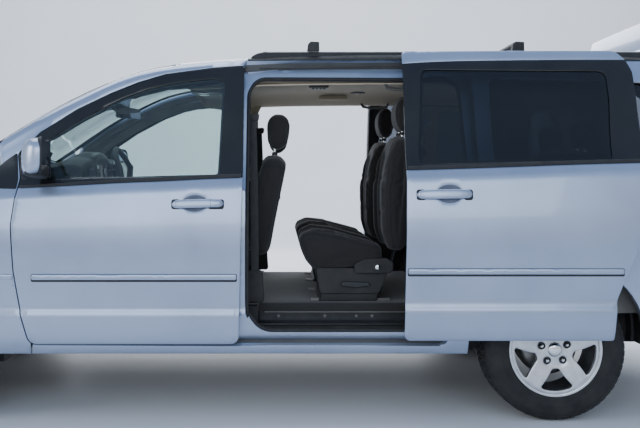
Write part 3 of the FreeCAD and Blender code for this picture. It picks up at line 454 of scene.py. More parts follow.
def panel(name, chart, outline, holes=(), mats=(), depth=20.0, hem=2.5, grid=(30.0, 30.0), lift=0.0, body="root",
          move=None, back=True, mirror=False, paint=None, crease=True, post=None, lining=None):
    """A sheet cut from a chart: outline and holes are dense loops in the chart. It has a rolled hem, walls down to depth and a
    back face. paint(centroids in chart) gives each front face's material index. mirror=True puts it on the right side.
    lining=(material index, depth) gives the back face and the walls below that depth their own material."""
    outline = np.asarray(outline, float)
    if area(outline) < 0:
        outline = outline[::-1]
    holes = [np.asarray(h, float) if area(h) < 0 else np.asarray(h, float)[::-1] for h in holes]
    fillet = [(0.0, hem), (hem * 0.3, hem * 0.3), (hem, 0.0)] if hem > 0 else [(0.0, 0.0)]
    loops = []                     # each: list of rings from the edge inward, (points, depth)
    for L, s in [(outline, -1)] + [(h, 1) for h in holes]:
        # offset() always returns a positive loop, so holes are turned back
        rings = []
        for off, dep in fillet:
            p = offset(L, s * off) if off else (L if area(L) > 0 else L[::-1])
            if s > 0:
                p = p[::-1]
            rings.append((p, dep))
        loops.append(rings)
    inner = [r[-1][0] for r in loops]
    lo, hi = inner[0].min(0), inner[0].max(0)
    xs = np.arange(lo[0] + grid[0] * 0.5, hi[0], grid[0])
    ys = list(np.arange(lo[1] + grid[1] * 0.5, hi[1], grid[1]))
    lines = [c for c in (chart.lines if crease else []) if lo[1] + 2 < c < hi[1] - 2]
    ys = [y for y in ys if all(abs(y - c) > grid[1] * 0.45 for c in lines)]
    gx, gy = np.meshgrid(xs, ys)
    gx = gx + (np.arange(len(ys)) % 2)[:, None] * grid[0] * 0.5
    pts = np.stack([gx.ravel(), gy.ravel()], 1)
    pts = pts[clearance(pts, inner) > 0.45 * min(grid)] if len(pts) else pts
    pts = pts[inside(pts, inner[0])] if len(pts) else pts
    for h in inner[1:]:
        pts = pts[~inside(pts, h)]
    verts, edges = [], []
    for L in inner:
        b = len(verts)
        verts += [tuple(p) for p in L]
        edges += [(b + i, b + (i + 1) % len(L)) for i in range(len(L))]
    nb = len(verts)
    verts += [tuple(p) for p in pts]
    for c in lines:                # crease lines run as edges across the sheet
        cx = np.arange(lo[0] + 3, hi[0] - 3, grid[0] * 0.5)
        cp = np.stack([cx, np.full(len(cx), c)], 1)
        ok = inside(cp, inner[0]) & (clearance(cp, inner) > 4.0)
        for h in inner[1:]:
            ok &= ~inside(cp, h)
        prev = None
        for j in range(len(cp)):
            if ok[j]:
                verts.append(tuple(cp[j]))
                if prev is not None and prev[0] == j - 1:
                    edges.append((prev[1], len(verts) - 1))
                prev = (j, len(verts) - 1)
            else:
                prev = None
    res = delaunay_2d_cdt([Vector(v) for v in verts], edges, [], 0, 1e-4)
    V2 = np.array([(v.x, v.y) for v in res[0]])
    T = np.array([f for f in res[2] if len(f) == 3], int)
    orig = res[3]
    cen = V2[T].mean(1)
    keep = inside(cen, inner[0])
    for h in inner[1:]:
        keep &= ~inside(cen, h)
    T = T[keep]
    a2 = V2[T]
    flip2 = np.cross(a2[:, 1] - a2[:, 0], a2[:, 2] - a2[:, 0]) < 0
    T[flip2] = T[flip2][:, ::-1]
    index = {}
    for new, olds in enumerate(orig):
        for o in olds:
            index[o] = new
    base = chart.pos(V2)
    nrm, _, _ = normals(chart, V2)
    out_sign = chart.out
    nrm = nrm * out_sign
    P = [p for p in base + nrm * lift]
    faces, fm = [], []
    tri_out = T if out_sign > 0 else T[:, ::-1]
    which = paint(V2[T].mean(1)) if paint is not None else np.zeros(len(T), int)
    faces += [tuple(t) for t in tri_out]
    fm += list(which)
    nfront = len(P)
    if back:
        P += [p for p in base - nrm * (depth - lift)]
        faces += [tuple(nfront + i for i in t[::-1]) for t in tri_out]
        fm += [0 if paint is None else int(w) for w in which] if lining is None else [lining[0]] * len(which)
    start = 0
    edge_pairs = []
    counter = 0
    for li, rings in enumerate(loops):
        n = len(rings[0][0])
        ring_idx = [[index[counter + i] for i in range(n)]]
        counter += n
        for (p, dep) in rings[::-1][1:]:
            b = chart.pos(p)
            nn, _, _ = normals(chart, p)
            nn = nn * out_sign
            ids = list(range(len(P), len(P) + n))
            P += [x for x in b + nn * (lift - dep)]
            ring_idx.append(ids)
        if lining is not None:
            p = rings[0][0]
            b = chart.pos(p)
            nn, _, _ = normals(chart, p)
            ids = list(range(len(P), len(P) + n))
            P += [x for x in b + nn * out_sign * (lift - lining[1])]
            ring_idx.append(ids)
        if back:
            ring_idx.append([nfront + i for i in ring_idx[0]])
        else:
            p, dep = rings[0]
            b = chart.pos(p)
            nn, _, _ = normals(chart, p)
            nn = nn * out_sign
            ids = list(range(len(P), len(P) + n))
            P += [x for x in b - nn * (depth - lift)]
            ring_idx.append(ids)
        wmat = 0
        for A, B in zip(ring_idx, ring_idx[1:]):
            for i in range(n):
                j = (i + 1) % n
                f = (A[i], B[i], B[j], A[j])
                faces.append(f if out_sign > 0 else f[::-1])
                if paint is not None:
                    wmat = int(paint(np.array([rings[-1][0][i]]))[0])
                fm.append(lining[0] if lining is not None and A is ring_idx[-2] else wmat)
    P = np.array(P)
    if post is not None:
        P = post(P)
    if move is not None:
        P = P + np.array(move, float)
    if mirror:
        P[:, 1] *= -1
        faces = [f[::-1] for f in faces]
    return link(name, M(P), faces, mats, fm, body=body, angle=32)


def both(name, *args, **kw):
    """The same sheet on the left and on the right."""
    bl, br = kw.pop("bodies", ("root", "root"))
    nl, nr = kw.pop("names", ("left_" + name, "right_" + name))
    return (panel(nl, *args, body=bl, **kw), panel(nr, *args, body=br, mirror=True, **kw))


# ------------------------------------------------------------------ materials
class Mat:
    """A node material built up in code."""

    def __init__(self, name):
        self.m = bpy.data.materials.new(name)
        self.m.use_nodes = True
        self.t = self.m.node_tree
        self.b = self.t.nodes["Principled BSDF"]

    def node(self, kind, **props):
        n = self.t.nodes.new(kind)
        for k, v in props.items():
            setattr(n, k, v)
        return n

    def set(self, **kw):
        for k, v in kw.items():
            self.b.inputs[k.replace("_", " ")].default_value = v
        return self

    def join(self, a, b):
        self.t.links.new(a, b)

    def coords(self, scale=(1, 1, 1)):
        c = self.node("ShaderNodeTexCoord")
        mp = self.node("ShaderNodeMapping")
        mp.inputs["Scale"].default_value = scale
        self.join(c.outputs["Object"], mp.inputs["Vector"])
        return mp.outputs["Vector"]

    def noise(self, vec, scale, detail=2.0, rough=0.5):
        n = self.node("ShaderNodeTexNoise")
        n.inputs["Scale"].default_value = scale
        n.inputs["Detail"].default_value = detail
        n.inputs["Roughness"].default_value = rough
        self.join(vec, n.inputs["Vector"])
        return n.outputs["Fac"]

    def ramp(self, fac, stops):
        r = self.node("ShaderNodeValToRGB")
        e = r.color_ramp.elements
        while len(e) < len(stops):
            e.new(0.5)
        for x, (p, c) in zip(e, stops):
            x.position = p
            x.color = (*c, 1.0) if len(c) == 3 else c
        self.join(fac, r.inputs["Fac"])
        return r.outputs["Color"]

    def bump(self, height, strength, distance):
        b = self.node("ShaderNodeBump")
        b.inputs["Strength"].default_value = strength
        b.inputs["Distance"].default_value = distance
        self.join(height, b.inputs["Height"])
        self.join(b.outputs["Normal"], self.b.inputs["Normal"])
        return b


def varied(name, c0, c1, scale, rough=(0.4, 0.6), metallic=0.0, bump=(0.0, 0.001, 100.0), detail=3.0, **sockets):
    """A plain finish: colour and roughness vary a little with noise, and a fine bump."""
    m = Mat(name)
    v = m.coords()
    f = m.noise(v, scale, detail)
    m.join(m.ramp(f, [(0.3, c0), (0.7, c1)]), m.b.inputs["Base Color"])
    r = m.node("ShaderNodeMapRange")
    r.inputs["To Min"].default_value, r.inputs["To Max"].default_value = rough
    m.join(m.noise(v, scale * 2.3, 2.0), r.inputs["Value"])
    m.join(r.outputs["Result"], m.b.inputs["Roughness"])
    m.set(Metallic=metallic)
    if bump[0] > 0:
        m.bump(m.noise(v, bump[2], 2.0), bump[0], bump[1])
    for k, x in sockets.items():
        m.b.inputs[k.replace("_", " ")].default_value = x
    return m.m


def car_paint(name, base, dark):
    m = Mat(name)
    v = m.coords()
    flakes = m.node("ShaderNodeTexVoronoi", feature="F1")
    flakes.inputs["Scale"].default_value = 2600.0
    m.join(v, flakes.inputs["Vector"])
    mix = m.node("ShaderNodeMix", data_type="RGBA")
    mix.inputs["Factor"].default_value = 0.5
    m.join(m.ramp(flakes.outputs["Distance"], [(0.0, tuple(min(1, c * 1.16) for c in base)), (0.7, dark)]), mix.inputs["A"])
    m.join(m.ramp(m.noise(v, 3.0, 4.0), [(0.35, dark), (0.65, base)]), mix.inputs["B"])
    m.join(mix.outputs["Result"], m.b.inputs["Base Color"])
    r = m.node("ShaderNodeMapRange")
    r.inputs["To Min"].default_value, r.inputs["To Max"].default_value = 0.26, 0.36
    m.join(m.noise(v, 9.0, 5.0), r.inputs["Value"])
    m.join(r.outputs["Result"], m.b.inputs["Roughness"])
    m.set(Metallic=0.72, Coat_Weight=0.9, Coat_Roughness=0.04, Coat_IOR=1.5)
    m.bump(m.noise(v, 700.0, 1.0), 0.03, 0.0004)
    return m.m


def glass(name, tint, rough=0.0, alpha_like=0.0, ior=1.45):
    m = Mat(name)
    v = m.coords()
    m.join(m.ramp(m.noise(v, 1.5, 2.0), [(0.3, tint), (0.7, tuple(min(1.0, c * 1.05) for c in tint))]), m.b.inputs["Base Color"])
    m.set(Transmission_Weight=1.0, Roughness=rough, IOR=ior)
    m.m.use_screen_refraction = False if hasattr(m.m, "use_screen_refraction") else False
    return m.m


def cloth(name, c0, c1, weave=900.0, sheen=0.3, bump=0.35):
    m = Mat(name)
    v = m.coords()
    w1 = m.node("ShaderNodeTexWave", wave_type="BANDS", bands_direction="DIAGONAL")
    w1.inputs["Scale"].default_value = weave * 0.3
    w1.inputs["Distortion"].default_value = 0.6
    m.join(v, w1.inputs["Vector"])
    w2 = m.node("ShaderNodeTexWave", wave_type="BANDS", bands_direction="Z")
    w2.inputs["Scale"].default_value = weave * 0.3
    w2.inputs["Distortion"].default_value = 0.6
    m.join(v, w2.inputs["Vector"])
    mx = m.node("ShaderNodeMath", operation="MAXIMUM")
    m.join(w1.outputs["Fac"], mx.inputs[0])
    m.join(w2.outputs["Fac"], mx.inputs[1])
    ad = m.node("ShaderNodeMath", operation="MULTIPLY_ADD")
    m.join(m.noise(v, 14.0, 5.0), ad.inputs[0])
    ad.inputs[1].default_value = 0.6
    m.join(mx.outputs["Value"], ad.inputs[2])
    m.join(m.ramp(ad.outputs["Value"], [(0.35, c0), (1.2, c1)]), m.b.inputs["Base Color"])
    m.set(Roughness=0.92, Sheen_Weight=sheen, Sheen_Roughness=0.5)
    m.bump(mx.outputs["Value"], bump, 0.0006)
    return m.m


# the body colour: silver, with a blue tint mixed in as painted reflection of the sky
PAINT = car_paint("silver_paint", (0.385, 0.455, 0.595), (0.295, 0.355, 0.475))
# a darker copy of the body colour for the handle scoops: painted shade inside the hollows
SCOOP_PAINTED_SHADE = varied("silver_paint_painted_shade", (0.075, 0.09, 0.13), (0.11, 0.13, 0.18), 14.0, (0.4, 0.55), metallic=0.3, bump=(0.02, 0.0003, 700.0))
BLACK_GLOSS = varied("black_gloss_trim", (0.006, 0.006, 0.007), (0.012, 0.012, 0.013), 6.0, (0.08, 0.16), bump=(0.02, 0.0004, 300.0))
BLACK_GRAIN = varied("black_grained_plastic", (0.008, 0.008, 0.009), (0.018, 0.018, 0.019), 20.0, (0.5, 0.7), bump=(0.25, 0.0004, 1400.0))
RUBBER = varied("seal_rubber", (0.010, 0.010, 0.011), (0.02, 0.02, 0.02), 25.0, (0.6, 0.8), bump=(0.15, 0.0004, 600.0))
TYRE = varied("tyre_rubber", (0.009, 0.009, 0.0095), (0.021, 0.020, 0.019), 12.0, (0.7, 0.9), bump=(0.2, 0.0004, 900.0))
ALLOY = varied("painted_alloy", (0.55, 0.56, 0.58), (0.68, 0.69, 0.71), 30.0, (0.26, 0.36), metallic=0.8, bump=(0.04, 0.0003, 900.0))
# a darker copy of the wheel alloy for the barrel's inside and the nut pockets: painted shade in these recesses
ALLOY_PAINTED_SHADE = varied("alloy_inner", (0.09, 0.09, 0.095), (0.16, 0.16, 0.165), 25.0, (0.4, 0.6), metallic=0.7, bump=(0.1, 0.0004, 400.0))
MIRROR_GLASS = varied("mirror_glass", (0.20, 0.23, 0.27), (0.23, 0.26, 0.30), 5.0, (0.02, 0.05), metallic=1.0, bump=(0.01, 0.0002, 60.0))
CHROME = varied("chrome", (0.78, 0.79, 0.8), (0.86, 0.87, 0.88), 8.0, (0.05, 0.1), metallic=1.0, bump=(0.01, 0.0002, 200.0))
STEEL = varied("worn_steel", (0.20, 0.19, 0.18), (0.34, 0.33, 0.31), 35.0, (0.3, 0.5), metallic=0.9, bump=(0.15, 0.0005, 260.0))
CHASSIS = varied("chassis_coat", (0.015, 0.015, 0.016), (0.045, 0.042, 0.04), 16.0, (0.5, 0.75), bump=(0.3, 0.0008, 220.0))
UNDER = varied("underbody_coat", (0.014, 0.013, 0.013), (0.034, 0.032, 0.03), 9.0, (0.7, 0.9), bump=(0.5, 0.0012, 180.0))
IRON = varied("cast_iron", (0.05, 0.048, 0.046), (0.11, 0.1, 0.095), 22.0, (0.6, 0.8), metallic=0.4, bump=(0.6, 0.0015, 160.0))
CABIN = varied("cabin_plastic", (0.015, 0.0138, 0.0132), (0.029, 0.027, 0.026), 10.0, (0.55, 0.7), bump=(0.3, 0.0004, 1100.0))
CABIN_GREY = varied("cabin_grey_plastic", (0.13, 0.125, 0.115), (0.17, 0.165, 0.15), 10.0, (0.5, 0.65), bump=(0.25, 0.0004, 1000.0))
PILLAR_TRIM = varied("pillar_trim_plastic", (0.085, 0.085, 0.085), (0.115, 0.113, 0.11), 10.0, (0.55, 0.7), bump=(0.25, 0.0004, 1000.0))
BEIGE = cloth("headliner_cloth", (0.42, 0.335, 0.225), (0.52, 0.43, 0.305), 700.0, 0.2, 0.2)
SEAT = cloth("seat_cloth", (0.009, 0.0072, 0.0065), (0.023, 0.0195, 0.018), 800.0, 0.2, 0.3)
SEAT_MESH = cloth("seat_insert_cloth", (0.0145, 0.012, 0.011), (0.038, 0.034, 0.032), 420.0, 0.2, 0.5)
CARPET = cloth("floor_carpet", (0.012, 0.0105, 0.0098), (0.034, 0.031, 0.028), 350.0, 0.2, 0.5)
CLEAR_GLASS = glass("clear_glass", (0.66, 0.77, 0.75))
DARK_GLASS = glass("privacy_glass", (0.15, 0.165, 0.19))
LENS = glass("lamp_lens", (0.93, 0.95, 0.97))
RED_LENS = glass("red_lens", (0.5, 0.015, 0.02), 0.06)
AMBER_LENS = glass("amber_lens", (0.95, 0.38, 0.05), 0.05)
REFLECTOR = varied("lamp_reflector", (0.75, 0.76, 0.78), (0.86, 0.87, 0.88), 30.0, (0.08, 0.2), metallic=1.0, bump=(0.2, 0.001, 90.0))


# ------------------------------------------------------------------ more mesh makers
def clip(loop, axis, value, keep_above):
    """The dense outline cut by a line across the chart."""
    out = []
    n = len(loop)
    for i in range(n):
        a, b = loop[i], loop[(i + 1) % n]
        ia = (a[axis] >= value) == keep_above
        ib = (b[axis] >= value) == keep_above
        if ia:
            out.append(a)
        if ia != ib:
            t = (value - a[axis]) / (b[axis] - a[axis])
            out.append(a + (b - a) * t)
    out = np.array(out)
    keep = np.linalg.norm(out - np.roll(out, 1, 0), axis=1) > 0.3
    return resample(out[keep], 22.0)


def resample(loop, step):
    out = []
    n = len(loop)
    for i in range(n):
        a, b = loop[i], loop[(i + 1) % n]
        m = max(1, int(np.linalg.norm(b - a) / step + 0.5))
        for j in range(m):
            out.append(a + (b - a) * j / m)
    return np.array(out)


def sweep(name, path, r, mat, closed=False, n=8, body="root", flat=None, caps=True, mirror=False):
    """A round strip along a path in (u, y, z) mm; flat=(w, h, up) makes its section an oval with h along up."""
    p = np.asarray(path, float)
    N = len(p)
    verts, faces = [], []
    prev = None
    for i in range(N):
        a = p[(i - 1) % N] if closed or i > 0 else p[i]
        b = p[(i + 1) % N] if closed or i < N - 1 else p[i]
        t = b - a
        t /= max(1e-9, np.linalg.norm(t))
        if flat is not None:
            up = np.array(flat[2], float)
        elif prev is not None:
            up = prev
        else:
            up = np.array([0, 0, 1.0]) if abs(t[2]) < 0.9 else np.array([1.0, 0, 0])
        x = np.cross(up, t)
        x /= max(1e-9, np.linalg.norm(x))
        y = np.cross(t, x)
        prev = y
        w, h = (flat[0], flat[1]) if flat is not None else (r, r)
        for k in range(n):
            c = 2 * math.pi * (k + 0.5) / n
            e = 0.6 if flat is not None else 1.0
            cc, ss = math.cos(c), math.sin(c)
            verts.append(p[i] + x * w * math.copysign(abs(cc) ** e, cc) + y * h * math.copysign(abs(ss) ** e, ss))
    for i in range(N if closed else N - 1):
        for k in range(n):
            a, b = i * n + k, i * n + (k + 1) % n
            c, d = ((i + 1) % N) * n + (k + 1) % n, ((i + 1) % N) * n + k
            faces.append((a, b, c, d))
    if not closed and caps:
        faces.append(tuple(range(n))[::-1])
        faces.append(tuple((N - 1) * n + k for k in range(n)))
    verts = np.array(verts)
    if mirror:
        verts[:, 1] *= -1
        faces = [f[::-1] for f in faces]
    return link(name, M(verts), faces, [mat], body=body, angle=50)


def lathe(name, profile, centre, mats, axis="y", n=64, body="root", sgn=1.0, face_mats=None, angle=35, closed=False, arc=None):
    """A profile of (radius, distance along the axis) turned about an axis through centre; sgn turns the distance over."""
    verts, faces, fm = [], [], []
    m = len(profile)
    full = arc is None
    a0, a1 = (0.0, 2 * math.pi) if full else arc
    steps = n if full else n + 1
    for i in range(steps):
        t = a0 + (a1 - a0) * i / n
        c, s = math.cos(t), math.sin(t)
        for r, d in profile:
            if axis == "y":
                verts.append((centre[0] + r * c, centre[1] + sgn * d, centre[2] + r * s))
            elif axis == "z":
                verts.append((centre[0] + r * c, centre[1] + r * s, centre[2] + sgn * d))
            else:
                verts.append((centre[0] + sgn * d, centre[1] + r * c, centre[2] + r * s))
    for i in range(n):
        j = (i + 1) % steps
        for k in range(m if closed else m - 1):
            k2 = (k + 1) % m
            f = (i * m + k, i * m + k2, j * m + k2, j * m + k)
            faces.append(f if sgn > 0 else f[::-1])
            fm.append(0 if face_mats is None else face_mats[k])
    return link(name, M(verts), faces, mats, fm, body=body, angle=angle)


def rings_mesh(name, rings, mat, body="root", closed=True, caps=True, angle=40, mirror=False, bevel=0.0, subdiv=0):
    """A skin over a row of rings with the same number of points each, in (u, y, z) mm."""
    n = len(rings[0])
    verts = np.array([p for r in rings for p in r], float)
    faces = []
    for i in range(len(rings) - 1):
        for k in range(n if closed else n - 1):
            a, b = i * n + k, i * n + (k + 1) % n
            faces.append((a, b, b + n, a + n))
    if caps and closed:
        faces.append(tuple(range(n))[::-1])
        faces.append(tuple((len(rings) - 1) * n + k for k in range(n)))
    if mirror:
        verts[:, 1] *= -1
        faces = [f[::-1] for f in faces]
    ob = link(name, M(verts), faces, [mat], body=body, angle=angle)
    fix_normals(ob)
    if bevel:
        add_bevel(ob, bevel)
    if subdiv:
        md = ob.modifiers.new("sub", "SUBSURF")
        md.levels = md.render_levels = subdiv
    return ob


def fix_normals(ob):
    bm = bmesh.new()
    bm.from_mesh(ob.data)
    bmesh.ops.recalc_face_normals(bm, faces=bm.faces)
    bm.to_mesh(ob.data)
    bm.free()


def add_bevel(ob, width_mm, segments=2, angle=35):
    b = ob.modifiers.new("bevel", "BEVEL")
    b.width = width_mm / 1000.0
    b.segments = segments
    b.limit_method = "ANGLE"
    b.angle_limit = math.radians(angle)
    b.harden_normals = True
    return b


def prism(name, outline, a, b, mat, axis="y", bevel=2.0, body="root", mirror=False, segments=2):
    """An outline pushed from a to b along an axis: (u, z) along y, (y, z) along u, (u, y) along z."""
    o = np.asarray(outline, float)
    rings = []
    for v in (a, b):
        if axis == "y":
            rings.append([(p[0], v, p[1]) for p in o])
        elif axis == "u":
            rings.append([(v, p[0], p[1]) for p in o])
        else:
            rings.append([(p[0], p[1], v) for p in o])
    ob = rings_mesh(name, rings, mat, body=body, mirror=mirror, angle=30)
    if bevel:
        add_bevel(ob, bevel, segments)
    return ob


def block(name, lo, hi, mat, bevel=3.0, body="root", segments=3, mirror=False):
    (x0, y0, z0), (x1, y1, z1) = lo, hi
    return prism(name, [(x0, z0), (x1, z0), (x1, z1), (x0, z1)], y0, y1, mat, bevel=bevel, body=body, segments=segments, mirror=mirror)


def pair(fn, name, *args, bodies=("root", "root"), **kw):
    """A piece drawn for the left side, and its mirror image on the right."""
    return [fn("left_" + name, *args, body=bodies[0], **kw), fn("right_" + name, *args, body=bodies[1], mirror=True, **kw)]


def cad(names, mat, bevel=2.0):
    """A CAD piece that stays in view, with its edges eased."""
    for n in names:
        ob = NODES[n]
        ob.data.materials.clear()
        ob.data.materials.append(mat)
        if bevel:
            add_bevel(ob, bevel, 2, 40)


def bead(name, chart, loop, r, mat, lift=0.0, body="root", mirror=False, move=None, n=6, closed=True, step=14.0, post=None):
    """A round strip lying along an outline of a chart."""
    q = resample(np.asarray(loop, float), step) if closed else np.asarray(loop, float)
    nn, _, _ = normals(chart, q)
    p = chart.pos(q) + nn * chart.out * lift
    if post is not None:
        p = post(p)
    if move is not None:
        p = p + np.array(move)
    return sweep(name, p, r, mat, closed=closed, n=n, body=body, mirror=mirror)


# ------------------------------------------------------------------ outlines of the body in the side chart
S7 = S_AT[7]
BELT_HALF = 3.0
DOOR1_R = (45, 90, 120, 120, 40, 30, 30, 30, 60, 60, 60, 60, 30, 14, 30, 40)
DOOR1 = to_side(FRONT_DOOR, DOOR1_R, 18, 9.2)
SL_DOOR = SLIDING_DOOR[:10] + ((2640, 1748), (1600, 1748), (1597, 1164))
DOOR2_R = (30, 12, 60, 60, 60, 80, 60, 30, 40, 60, 60, 22, 0)
DOOR2 = to_side(SL_DOOR, DOOR2_R, 18, 9.6)
GLASS1 = to_side(FRONT_GLASS, (14, 22, 26, 60, 60, 60, 60, 60, 20), 18)
GLASS2 = to_side(SLIDING_GLASS, (26, 26, 60, 34, 34), 18)
GLASS3 = to_side(QUARTER_GLASS, (26, 30, 60, 60, 34), 18)
APERT1 = to_side(FRONT_APERTURE, (60, 60, 60, 60, 40, 30, 40, 60, 60, 60, 60, 60, 30, 0, 60), 20)
APERT2 = resample(offset(to_side(SLIDING_APERTURE, (90, 60, 60, 60, 60, 60, 50, 60, 70, 60, 0, 90), 20), 16), 20)

# The two doors' cuts run into one hole in the body side.
_front = [p for p in FRONT_DOOR[:13]]
_hole = list(FRONT_DOOR[:13]) + [(1590, 1716), (1600, 1748), (2640, 1748)] + [(p[0], p[1]) for p in SL_DOOR[9::-1]][:10] + [(1575, 366)]
_hole_r = [45, 90, 120, 120, 40, 30, 30, 30, 60, 60, 60, 60, 30, 6, 6, 60, 60, 40, 30, 60, 80, 60, 60, 60, 40, 30, 0]
_hole_r = _hole_r[:len(_hole)] + [0] * (len(_hole) - len(_hole_r))
HOLE = offset(to_side(_hole, _hole_r, 18, 9.6), 4.5)


def arch_curve(u, n=28, d=0.0):
    """The wheel opening's edge as (u, z) from its front foot up and over to its rear foot."""
    return [(u - (ARCH_R + d) * math.cos(math.pi * k / n), ARCH_Z + (ARCH_H + d) * math.sin(math.pi * k / n)) for k in range(n + 1)]


def gate_y(z):
    """Half width of the liftgate's outline at height z."""
    return float(np.interp(z, (640, 648, 760, 1000, 1200, 1500, 1680, 1800), (636, 640, 700, 735, 735, 690, 640, 632)))


def u_at(y, z):
    """u of the tail's skin at half width y and height z."""
    a, b = 3700.0, 4178.0
    for _ in range(30):
        m = (a + b) / 2
        if half_width(np.array([m]), np.array([z]))[0] > y:
            a = m
        else:
            b = m
    return (a + b) / 2


def side_pts(pts, hi=9.4):
    p = np.array(pts, float)
    return np.stack([p[:, 0], s_from_z(p[:, 0], p[:, 1], hi)], 1)


GZ = [1304, 1360, 1420, 1480, 1540, 1600, 1640, 1668]
gate_edge = []
for z in GZ:
    yy = gate_y(z) + 6
    uu = u_at(yy, z)
    gate_edge.append((uu, float(s_from_z(np.array([uu]), np.array([float(z)]), 11.9)[0])))
S10 = S_AT[10]
BODY_U1 = 4036.0


def between(loop, i, j):
    """The points of a closed loop from index i on to index j."""
    return loop[i:j + 1] if i <= j else np.concatenate([loop[i:], loop[:j + 1]])


def nearest(loop, p):
    return int(np.argmin(np.linalg.norm(loop - np.array(p), axis=1)))


HREV = HOLE[::-1]
_ia = nearest(HREV, (505.0, S7 + 60.0))
_ib = nearest(HREV, (600.0, float(s_from_z(np.array([600.0]), np.array([366.0]))[0])))
HOLE_TOP = between(HREV, _ia, _ib)             # up the front pillar, back over the doors, down and forward again
HOLE_FRONT = between(HREV, _ib, _ia)           # up the front of the front door
low = side_pts([(588, 322.5), (900, 322.5), (1600, 322.5), (2300, 322.5), (2659, 322.5)] + arch_curve(WB) +
               [(3497, 340), (3602, 344), (3602, 640), (3800, 640), (BODY_U1, 640), (BODY_U1, 760), (BODY_U1 - 2, 903), (3908, 903),
                (3927, 1299)] + [(float(u), 1299) for u in np.linspace(3927.0, gate_edge[0][0] - 1.0, 9)[1:]])
top_edge = [(3938, S10 - 12), (3900, S10 - 6), (3757, S10 - 5), (3500, S10 - 5), (2600, S10 - 5), (1900, S10 - 5), (1240, S10 - 5),
            (1100, S10 - 14), (900, S10 - 16), (700, S10 - 14), (560, S10 - 10), (430, S10 - 12), (400, S_AT[9] - 6),
            (412, S_AT[8] - 10), (440, S7 + 60.0)]
BODY_OUT = resample(np.concatenate([low, np.array(gate_edge), np.array(top_edge), HOLE_TOP]), 20.0)


def top_z(u, y):
    return surf(u, k_of_s(s_from_y(u, y, 5.0)))[:, 1]


def u_front(y, z):
    """u at which the top of the nose reaches height z at each y."""
    y = np.asarray(y, float)
    a, b = np.full(len(y), -950.0), np.full(len(y), -300.0)
    for _ in range(28):
        m = (a + b) / 2
        low_ = top_z(m, y) < z
        a, b = np.where(low_, m, a), np.where(low_, b, m)
    return (a + b) / 2


def nose_a(u, y):
    """Chart angle of a point at u and distance y left of the centre line."""
    return 600.0 * math.atan2(y, -(u - NOSE.cu))


def tail_a(u, y):
    return 600.0 * math.atan2(y, u - TAIL.cu)


def two_sided(half):
    """A symmetric outline from its left half, given from bottom centre up to top centre."""
    return list(half) + [(-a, z) for a, z in half[::-1]]


def gate_turn(P):
    """Turns closed liftgate points up to the open position."""
    a = math.radians(-GATE_OPEN)
    P = np.array(P, float)
    P[:, 0] = 4109.0 - 7.0 * np.logaddexp(0.0, (4109.0 - P[:, 0]) / 7.0)
    P[:, 2] = np.maximum(P[:, 2], 649.0)
    d = P - np.array([GATE_U, 0, GATE_Z])
    c, s = math.cos(a), math.sin(a)
    x = d[:, 0] * c + d[:, 2] * s
    z = -d[:, 0] * s + d[:, 2] * c
    return np.stack([x + GATE_U, d[:, 1], z + GATE_Z], 1)


# ------------------------------------------------------------------ body side, fenders, roof
for ob_name, mir in (("left_side_skin", False), ("right_side_skin", True)):
    panel(ob_name, SIDE, BODY_OUT, holes=[offset(GLASS3, 4)], mats=[PAINT, PILLAR_TRIM], depth=62, hem=2.6, grid=(30, 26), mirror=mir,
                      lining=(1, 26.0))
    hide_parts("left_body_side" if not mir else "right_body_side")

fend_low = side_pts([(427, 322.5), (584, 322.5)])
fend_top = to_top_open = None
_ft = [(404, None), (378, -814), (250, -820), (62, -814), (38, -709), (5, -708), (-250, -700), (-560, -683), (-650, -659), (-700, -647), (-748, -634),
       (-774, -613), (-790, -590)]
_top_pts = []
for uu, yy in _ft:
    if yy is None:
        _top_pts.append((uu, S_AT[8] - 12))
    else:
        _top_pts.append((uu, float(s_from_y(np.array([float(uu)]), np.array([float(yy)]), 5.5)[0])))
# the fender's front edge runs along the top of the headlight
_fr = []
for _a in np.linspace(nose_a(-790.0, 590.0) + 14.0, 796.0, 8):
    _q = NOSE.pos(np.array([[_a, float(np.interp(_a, [424, 560, 800], [782, 812, 858])) + 7.0]]))[0]
    _sv = s_from_y(np.array([_q[0]]), np.array([-abs(_q[1])]), 5.0) if _a < 700 else s_from_z(np.array([_q[0]]), np.array([_q[2]]), 9.9)
    _fr.append((float(_q[0]), float(_sv[0])))
_fl = side_pts([(-516, 853), (-526, 773), (-617, 702), (-558, 654), (-388, 562)], 9.9)
_arch_f = side_pts([p for p in arch_curve(0.0) if not (p[0] < -384 and p[1] < 545)])
FEND = resample(np.concatenate([fend_low, HOLE_FRONT[HOLE_FRONT[:, 0] < 590.0], np.array([(418.0, S7 + 62.0)]), np.array(_top_pts), np.array(_fr), _fl,
                                _arch_f]), 20.0)
both("fender", SIDE, FEND, mats=[PAINT], depth=26, hem=2.6, grid=(28, 26))
for o in ("left_fender", "right_fender"):
    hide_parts("front_fenders")

_rf = [(1262, -652), (1259, -600), (1222, -490), (1186, -250), (1174, 0)]
_rfront = [(u, float(s_from_y(np.array([float(u)]), np.array([float(y)]), 8.5)[0])) for u, y in _rf]
_rfront[0] = (1264.0, S10 + 5)
ROOF = [(3742.0, S10 + 5)] + [(1264.0, S10 + 5)][:0]
_left = [(u, s) for u, s in _rfront]
_right = [(u, 2 * S_MID - s) for u, s in _rfront[:-1]][::-1]
ROOF = resample(np.array(_left + _right + [(3742.0, 2 * S_MID - S10 - 5), (3742.0, S10 + 5)]), 24.0)


